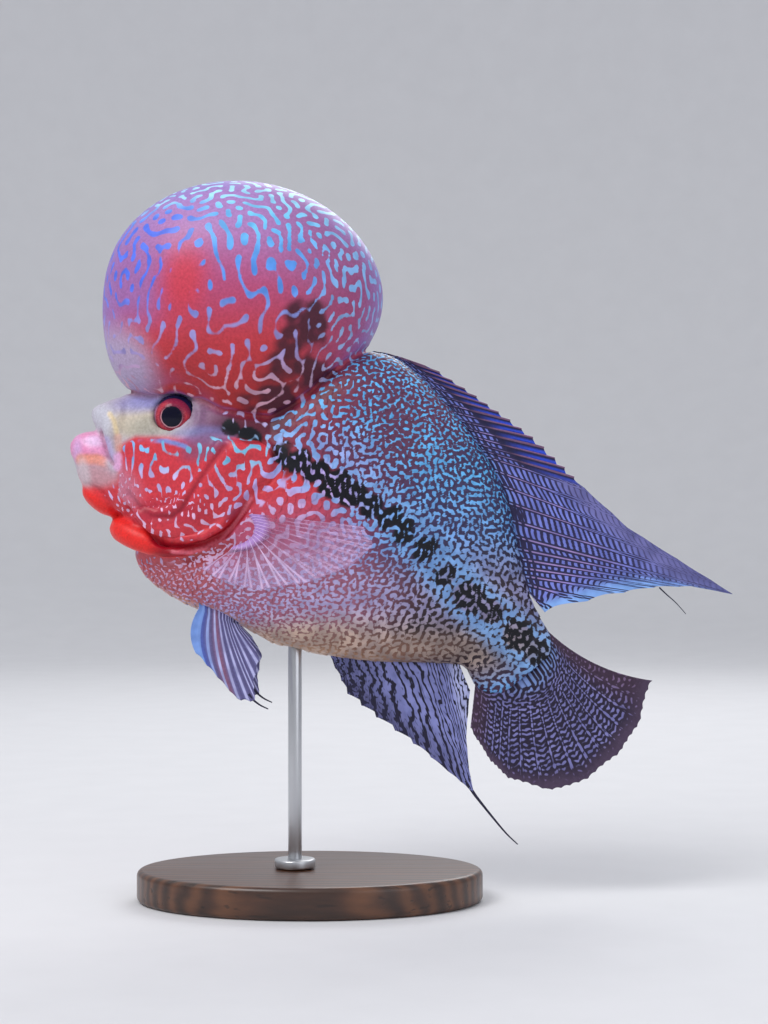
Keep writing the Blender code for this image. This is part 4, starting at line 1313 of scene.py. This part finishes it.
# The dorsal fin: about 16 spines with free tips that overlap like shingles, then soft rays drawn
# out to a long point. Lilac cells lie between the rays, parted by dark bars, and the tips are blue.
DORSAL_RAYS = (
    # where each ray starts and where it ends, in the side view
    ((28.0, 241.5), (38.5, 239.0)),
    ((36.0, 239.5), (56.0, 233.0)),
    ((46.0, 232.0), (70.5, 223.5)),
    ((56.5, 222.0), (83.5, 214.5)),
    ((65.0, 212.0), (97.0, 205.0)),
    ((72.5, 202.5), (110.0, 193.0)),
    ((78.5, 194.5), (121.0, 181.5)),
    ((83.5, 185.0), (141.0, 163.5)),
    ((87.5, 173.5), (165.0, 148.5)),
    ((90.0, 161.5), (188.5, 134.0)),
    ((92.0, 153.0), (171.5, 137.5)),
    ((93.5, 146.5), (154.0, 137.5)),
    ((94.5, 141.0), (133.0, 134.0)),
    ((96.5, 135.0), (103.5, 126.5)),
)
SPINES = 16
SOFT_RAYS = 11
SPINES_END = 0.46
BAR_SPACING = 2.8
dorsal = Fin(DORSAL_RAYS, 360, 120, (-4.0, 0.0, -3.0))
count = np.where(
    dorsal.across < SPINES_END,
    dorsal.across / SPINES_END * SPINES,
    SPINES + (dorsal.across - SPINES_END) / (1 - SPINES_END) * SOFT_RAYS,
)
spiny = 1 - ramp(dorsal.across, SPINES_END - 0.03, SPINES_END + 0.01)
dorsal.lay(
    spiny * 3.6 * (count % 1.0) ** 0.7
    + (1 - spiny) * (0.8 + 1.6 * ramp(dorsal.across, 0.7, 0.85)) * np.abs(np.sin(count * math.pi))
    + 1.5 * spiny * np.exp(-dorsal.across / 0.1)
)
across, out, ray = dorsal.sheets(count)
lean = spiny[:, None]
run = out * dorsal.length[:, None]
uneven = fin_chance(dorsal.points, 60, 3)
ribs = lean * rib(ray, 0.13) + (1 - lean) * forked(ray, out)
from_ray = ray_distance(ray, dorsal.points, out)
ray_sides = np.exp(-(((from_ray - 0.75) / 0.42) ** 2))
crowded = 1 - ramp(ray_spacing(ray, dorsal.points), 1.4, 2.6)
ray_sides = np.maximum(ray_sides, crowded * rib(ray + 0.5, 0.2))
bars = crossbars(ray, run + 0.3 * uneven, BAR_SPACING, 0.24) * ramp(from_ray, 0.5, 0.9)
smoky = ramp(out, 0.5, 0.8) * (1 - ramp(across, 0.66, 0.8)) * (1 - lean)
fringe = ramp(across, 0.66, 0.86) * ramp(out, 0.5, 0.9) * (1 - lean)
root_bars = rib(run / BAR_SPACING + 0.15 * uneven, 0.2) * (1 - ramp(run, 5.0, 8.0))
gaps = (ray_sides * (1 - 0.5 * smoky), bars * (1 - 0.4 * smoky) * (1 - fringe), root_bars)
cells = 0.8 - 2.0 * np.maximum.reduce(gaps)
phase = ray % 1.0
lobe = lean * ramp(out, 0.3, 0.5)
dark = fin_colours(
    dorsal,
    (
        linear(42, 38, 76), linear(70, 66, 108), linear(30, 28, 62), linear(56, 88, 222),
        linear(150, 108, 140),
    ),
    (
        smoky,
        lobe,
        lobe * ramp(phase, 0.25, 0.7) * ramp(out, 0.4, 0.85),
        lobe * np.exp(-(((phase - 0.06) / 0.07) ** 2)) * 0.9,
    ),
)
light = fin_colours(
    dorsal,
    (
        linear(114, 124, 206), linear(168, 130, 172), linear(104, 102, 156), linear(130, 176, 236),
        linear(104, 146, 216),
    ),
    (
        np.exp(-((from_ray / 0.4) ** 2)) * (1 - ramp(out, 0.3, 0.6)) * 0.8,
        smoky * 0.9,
        fringe * 0.8,
        (1 - ramp(run, 0.0, 5.0)) * 0.7,
    ),
)
half = half_thick(out, ribs, web=0.2, root=0.75, reach=0.25, rise=0.34 * lean + 0.18, fade=0.6)
wave = 0.9 * np.sin(across * 9.0 + 1.0) * out**1.5 * (1 - lean)
wave = wave + 0.9 * lean * (phase - 0.5) * ramp(out, 0.3, 0.9)
dorsal.mesh(half, wave, (dark, light), cells - 2.5 * lobe, "dorsal", "dorsal_fin")

# The tail fin: a rounded fan of 16 forking rays, dark violet-brown. Pale wavy bars cross it near
# its root and break into dots further out, and its margin is plain and dusky.
CAUDAL_RAYS = (
    ((105.0, 118.0), (151.5, 96.0)),
    ((107.0, 110.0), (144.5, 74.0)),
    ((105.0, 102.5), (131.0, 58.5)),
    ((99.5, 96.0), (111.0, 48.0)),
    ((90.0, 92.5), (89.0, 52.5)),
    ((81.5, 93.0), (78.5, 62.0)),
    ((73.0, 97.0), (70.5, 75.0)),
)
CAUDAL_RAY_COUNT = 16
caudal = Fin(CAUDAL_RAYS, 270, 130, (-4.5, 0.0, 6.5), round_rim=True, bow=4.0)
count = caudal.across * CAUDAL_RAY_COUNT
caudal.lay(0.7 * np.abs(np.sin(count * 2 * math.pi)) + 1.0 * np.abs(np.sin(caudal.across * 23.0)))
across, out, ray = caudal.sheets(count)
uneven = fin_chance(caudal.points, 300, 5)
ribs = forked(ray, out)
sides = np.maximum(1 - ramp(across, 0.02, 0.16), ramp(across, 0.8, 0.98))
margin = ramp(out + 0.02 * uneven, 0.82, 1.0)
pearls = grow_fin_pearls(
    caudal.points, 2.9, 1.0 - 0.72 * ramp(out, 0.04, 0.14) * (1 - ramp(out, 0.4, 0.75)) + 0 * across,
    0.1 - 0.75 * ramp(out, 0.4, 0.75) + 0 * across, 8,
)
dark = fin_colours(
    caudal,
    (linear(34, 26, 50), linear(66, 46, 66), linear(76, 60, 84)),
    (sides * 0.8, margin),
)
light = fin_colours(
    caudal,
    (linear(118, 116, 172), linear(106, 146, 200), linear(112, 84, 112), linear(98, 74, 104)),
    ((1 - ramp(out, 0.0, 0.14)) * 0.6 * (1 - ramp(across, 0.5, 0.9)), sides * 0.85, margin),
)
half = half_thick(out, ribs, web=0.2, root=0.8, reach=0.22, rise=0.2, fade=0.5)
wave = 1.6 * np.sin(across * 5.0 + 0.6) * out**1.3
run = out * caudal.length[:, None]
from_ray = ray_distance(ray, caudal.points, out, 0.6, 0.1)
arches = crossbars(ray, run + 0.5 * uneven, 2.4, 0.25, 0.3) * ramp(from_ray, 0.2, 0.7)
ray_sides = np.exp(-(((from_ray - 0.6) / 0.3) ** 2)) * ramp(out, 0.1, 0.3)
rows = 0.75 - 2.0 * np.maximum(arches, 0.75 * ray_sides)
pearls = 0.45 * pearls + (0.35 + 0.65 * ramp(out, 0.1, 0.3)) * rows - 0.25 - 0.4 * sides - 1.2 * margin
caudal.mesh(half, wave, (dark, light), pearls, "caudal", "caudal_fin")

# The anal fin: dusky spines in front, then soft rays drawn out to a point with a trailing thread.
# It is pale violet-blue with thin dark lines that wander along its rays.
ANAL_RAYS = (
    ((9.0, 107.5), (11.5, 102.0)),
    ((16.5, 106.0), (17.0, 90.0)),
    ((27.5, 105.0), (31.0, 79.0)),
    ((38.5, 104.5), (48.5, 66.5)),
    ((48.0, 104.5), (64.5, 53.5)),
    ((53.5, 104.0), (72.0, 47.0)),
    ((57.5, 104.0), (70.0, 57.0)),
    ((61.5, 103.5), (68.8, 72.0)),
    ((66.0, 103.0), (70.5, 92.0)),
)
ANAL_RAY_COUNT = 17
anal = Fin(ANAL_RAYS, 260, 110, (0.0, 0.0, 4.5))
count = anal.across * ANAL_RAY_COUNT
front = 1 - ramp(anal.across, 0.36, 0.46)
anal.lay(front * 2.2 * (count % 1.0) ** 0.7 + (1 - front) * 0.5 * np.abs(np.sin(count * math.pi)))
across, out, ray = anal.sheets(count)
lean = front[:, None]
ribs = lean * rib(ray, 0.13) + (1 - lean) * forked(ray, out)
dusk = 0.7 * ramp(out, 0.5, 0.95) * (1 - ramp(across, 0.4, 0.7))
dusk = np.clip(dusk + (1 - ramp(across, 0.1, 0.4)) * (0.4 + 0.6 * out), 0, 1)
pearls = grow_fin_pearls(anal.points, 2.5, 3.2 + 0 * out + 0 * across, 0.25 - 0.1 * ribs, 31)
ANAL_LINES = 1.3  # dark lines for each ray
lines = rib(ANAL_LINES * ray + 0.22 * fin_chance(anal.points, 60, 9), 0.19)
dark = fin_colours(anal, (linear(28, 24, 46), linear(36, 34, 62)), (dusk,))
light = fin_colours(
    anal,
    (linear(128, 132, 190), linear(78, 76, 118), linear(168, 172, 214)),
    (dusk * 0.85, ramp(across, 0.76, 0.97)),
)
half = half_thick(out, ribs, web=0.2, root=0.7, reach=0.22, rise=0.3 * lean + 0.14, fade=0.6)
wave = 1.0 * np.sin(across * 6.0) * out**1.5 + 0.6 * lean * (ray % 1.0 - 0.5) * ramp(out, 0.3, 0.9)
pearls = 0.4 * pearls - 1.6 * lines + 0.75 - 0.4 * dusk
anal.mesh(half, wave, (dark, light), pearls, "anal", "anal_fin")


def thread(points, start, end, name, out=0.0):
    """A trailing thread: a tube along a smooth line that tapers to its end."""
    path = smooth_rows(points, 12)
    path = np.stack([path[:, 0], out + bend(path[:, 0]), path[:, 1]], axis=1)
    along = unit(np.gradient(path, axis=0))
    aside = np.cross(along, (0.0, 1.0, 0.0))
    turns = np.linspace(0, 2 * math.pi, 10, endpoint=False)
    half = np.linspace(start, end, len(path))[:, None, None]
    ring = aside[:, None] * np.cos(turns)[None, :, None]
    ring = ring + np.array((0.0, 1.0, 0.0)) * np.sin(turns)[None, :, None]
    points = path[:, None] + ring * half
    index = np.arange(len(path) * 10).reshape(-1, 10)
    ahead = np.roll(index, -1, axis=1)
    faces = np.stack([index[:-1], index[1:], ahead[1:], ahead[:-1]], axis=-1).reshape(-1, 4).tolist()
    faces += [index[0].tolist(), index[-1][::-1].tolist()]
    mesh = new_mesh(name, points, faces)
    colour = np.tile(linear(34, 32, 58), (len(mesh.vertices), 1))
    set_values(mesh, "ground", colour)
    set_values(mesh, "pearl", np.full(len(colour), -2.0))
    mesh.shade_smooth()
    piece = new_piece(mesh, name)
    settle(piece, name, web_skin.material)


ANAL_THREAD = ((68.5, 52.5), (72.0, 47.0), (75.0, 43.0), (81.0, 35.5), (86.5, 29.0), (91.5, 24.2))
DORSAL_THREAD = ((154.5, 137.3), (158.0, 134.0), (162.0, 130.5), (166.5, 125.5))
thread(ANAL_THREAD, 0.8, 0.25, "anal_thread")
thread(DORSAL_THREAD, 0.35, 0.15, "dorsal_thread")

# The pelvic fins hang in a pair under the breast. Each is a pale blue spine in front and soft rays
# behind it, joined by a lilac web, with a short trailing thread, and its root is sunk in the skin.
PELVIC_RAYS = (
    # where each ray starts and ends in the side view, and how far each end stands out sideways
    ((-48.0, 128.5), (-49.0, 109.5), 8.5, 15.0),
    ((-44.0, 126.5), (-40.0, 100.0), 9.0, 17.0),
    ((-40.0, 124.5), (-30.5, 89.5), 9.0, 18.0),
    ((-37.5, 123.5), (-23.0, 88.5), 8.5, 17.0),
    ((-35.5, 122.8), (-23.8, 96.5), 7.5, 15.0),
    ((-33.5, 122.0), (-21.6, 107.0), 7.0, 12.0),
    ((-31.5, 121.0), (-26.0, 115.5), 6.0, 8.0),
)
PELVIC_RAY_COUNT = 11
PELVIC_THREAD = ((-26.0, 92.0), (-24.0, 89.5), (-21.0, 87.2), (-17.5, 85.5))
for side, name in ((-1, "left"), (1, "right")):
    pelvic = Fin(PELVIC_RAYS, 130, 70, (0.0, -1.0, 5.0), side=side, bow=3.0)
    count = pelvic.across * PELVIC_RAY_COUNT
    pelvic.lay(0.8 * np.abs(np.sin(count * math.pi)))
    across, out, ray = pelvic.sheets(count)
    ribs = rib(ray + 0.25 * out, 0.2)
    spine = 1 - ramp(across, 0.04, 0.2)
    rosy = rib(across * 3.4 + 0.1 * out, 0.16) * (1 - ramp(across, 0.4, 0.55))
    dark = fin_colours(
        pelvic,
        (linear(108, 106, 156), linear(76, 70, 112), linear(150, 92, 112), linear(66, 96, 186)),
        (rib(ray + 0.25 * out + 0.5, 0.24) * 0.7, rosy * 0.7, spine),
    )
    blue = 1 - ramp(across, 0.06, 0.3)
    light = fin_colours(pelvic, (linear(170, 170, 214), linear(116, 150, 216)), (blue,))
    half = half_thick(out, ribs, web=0.18, root=0.75, reach=0.25, rise=0.22, fade=0.5)
    half += 0.4 * (1 - ramp(across, 0.0, 0.06)) * (1 - out)
    wave = side * 0.8 * np.sin(across * 5.0) * out
    pearls = 1.2 * ribs - 0.6 + 1.2 * (1 - ramp(across, 0.02, 0.12))
    pelvic.mesh(half, wave, (dark, light), pearls, "pelvic_" + name, "pelvic_fin_" + name)
    thread(PELVIC_THREAD, 0.6, 0.25, "pelvic_thread_" + name, side * 17.0)

# The pectoral fins are clear fans of fine rays that branch, on a fleshy lilac root behind the gill
# cover. The web between the rays is nearly as clear as glass, and the lower rays are the stoutest.
PECTORAL_RAYS = (
    ((-24.5, 170.0), (24.5, 164.5), 25.5, 34.0),
    ((-22.5, 167.0), (28.0, 156.0), 25.8, 36.5),
    ((-22.0, 163.5), (16.5, 146.5), 25.8, 39.0),
    ((-23.0, 160.0), (-4.5, 139.5), 25.5, 40.0),
    ((-26.5, 157.0), (-26.5, 138.0), 25.0, 38.5),
    ((-31.5, 155.0), (-46.0, 146.0), 23.8, 34.0),
)
PECTORAL_RAY_COUNT = 14
clear = living_skin("clear_fin", 0.35)
clear.feed(Alpha=clear.attribute("veil") + 0.0)
for side, name in ((-1, "left"), (1, "right")):
    pectoral = Fin(PECTORAL_RAYS, 260, 70, (-1.0, -5.0, 0.0), side=side, round_rim=True)
    count = pectoral.across * PECTORAL_RAY_COUNT
    pectoral.lay(0.5 * np.abs(np.sin(count * 2 * math.pi)) + 0.9 * np.abs(np.sin(pectoral.across * 17.0)))
    across, out, ray = pectoral.sheets(count)
    ribs = forked(ray, out, 0.25, 0.2)
    low = ramp(across, 0.45, 0.62)  # the lower rays are thicker and whiter
    bars = rib(out * 16.0 + 0.3 * np.sin(across * 30.0), 0.25) * ramp(out, 0.3, 0.5) * (1 - low)
    pad = 1 - ramp(out, 0.07, 0.17)
    dark = fin_colours(
        pectoral,
        (linear(190, 130, 172), linear(184, 158, 206), linear(178, 140, 206)),
        (ramp(out, 0.3, 0.8), pad),
    )
    light = fin_colours(pectoral, (linear(204, 172, 214), linear(210, 182, 220)), (low,))
    half = half_thick(out, ribs, web=0.14, root=0.95, reach=0.24, rise=0.14, fade=0.6, start=0.04)
    wave = side * 0.7 * np.sin(across * 7.0) * out
    veil = 0.15 + (0.16 + 0.26 * low) * ribs + 0.12 * bars + 0.8 * pad
    pearls = 1.3 * ribs + 0.8 * bars - 0.75
    pectoral.mesh(
        half, wave, (dark, light), pearls, "pectoral_" + name, "pectoral_fin_" + name,
        clear, "pectoral_membrane", veil=np.clip(veil, 0, 1),
    )

# The studio: a pale paper floor that sweeps up into a backdrop all round, three softboxes and a
# faint even light. The camera looks straight at the fish's flank, level with the middle of the picture.
FLOOR_FLAT = 1.6  # metres out to where the paper starts to rise
FLOOR_BEND = 1.0
bpy.ops.object.select_all(action="DESELECT")
bpy.ops.mesh.primitive_circle_add(vertices=128, radius=FLOOR_FLAT, fill_type="TRIFAN")
floor = bpy.context.active_object
floor.name = "floor"
bpy.ops.object.mode_set(mode="EDIT")
bpy.context.tool_settings.mesh_select_mode = (False, True, False)
bpy.ops.mesh.select_all(action="SELECT")
bpy.ops.mesh.region_to_loop()
STEPS = 12
reached = FLOOR_FLAT
risen = 0.0
for k in range(1, STEPS + 1):
    turn = math.pi / 2 * k / STEPS
    wide = FLOOR_FLAT + FLOOR_BEND * math.sin(turn)
    high = FLOOR_BEND * (1 - math.cos(turn))
    bpy.ops.mesh.extrude_edges_move(TRANSFORM_OT_translate={"value": (0.0, 0.0, high - risen)})
    bpy.ops.transform.resize(value=(wide / reached, wide / reached, 1.0), center_override=(0.0, 0.0, 0.0))
    reached = wide
    risen = high
bpy.ops.mesh.extrude_edges_move(TRANSFORM_OT_translate={"value": (0.0, 0.0, 0.5)})
bpy.ops.mesh.select_all(action="SELECT")
bpy.ops.mesh.normals_make_consistent(inside=True)
bpy.ops.object.mode_set(mode="OBJECT")
bpy.ops.object.shade_smooth()
paper = Finish("paper_floor", Roughness=0.9)
paper.feed(Base_Color=paper.mix(paper.noise(30.0, 3.0), linear(214, 214, 217), linear(220, 220, 223)))
floor.data.materials.append(paper.material)

world = bpy.data.worlds.new("studio")
bpy.context.scene.world = world
world.use_nodes = True
world.node_tree.nodes["Background"].inputs["Color"].default_value = (0.86, 0.88, 0.92, 1.0)
world.node_tree.nodes["Background"].inputs["Strength"].default_value = 0.8


def softbox(place, aim, size, power, tone=(1.0, 1.0, 1.0)):
    data = bpy.data.lights.new("softbox", "AREA")
    data.shape = "DISK"
    data.size = size
    data.energy = power
    data.color = tone
    lamp = bpy.data.objects.new("softbox", data)
    lamp.location = place
    lamp.rotation_euler = (Vector(aim) - Vector(place)).to_track_quat("-Z", "Y").to_euler()
    bpy.context.collection.objects.link(lamp)


AIM = (0.0, 0.0, 0.19)
CAMERA_AWAY = 1.0  # metres from the fish's plane
CAMERA_LENS = 79.9
softbox((-0.7, -0.7, 1.3), AIM, 0.8, 12.0)
softbox((0.9, -1.0, 0.5), AIM, 1.0, 2.5, (0.92, 0.95, 1.0))
softbox((0.3, 1.1, 1.0), AIM, 0.9, 6.0)

camera_data = bpy.data.cameras.new("camera")
camera_data.sensor_width = 36.0
camera_data.lens = CAMERA_LENS
camera = bpy.data.objects.new("camera", camera_data)
camera.location = (SIGHT[2] * MM, -CAMERA_AWAY, SIGHT[3] * MM)
camera.rotation_euler = (math.pi / 2, 0.0, 0.0)
bpy.context.collection.objects.link(camera)
bpy.context.scene.camera = camera
bpy.context.scene.view_settings.view_transform = "Standard"
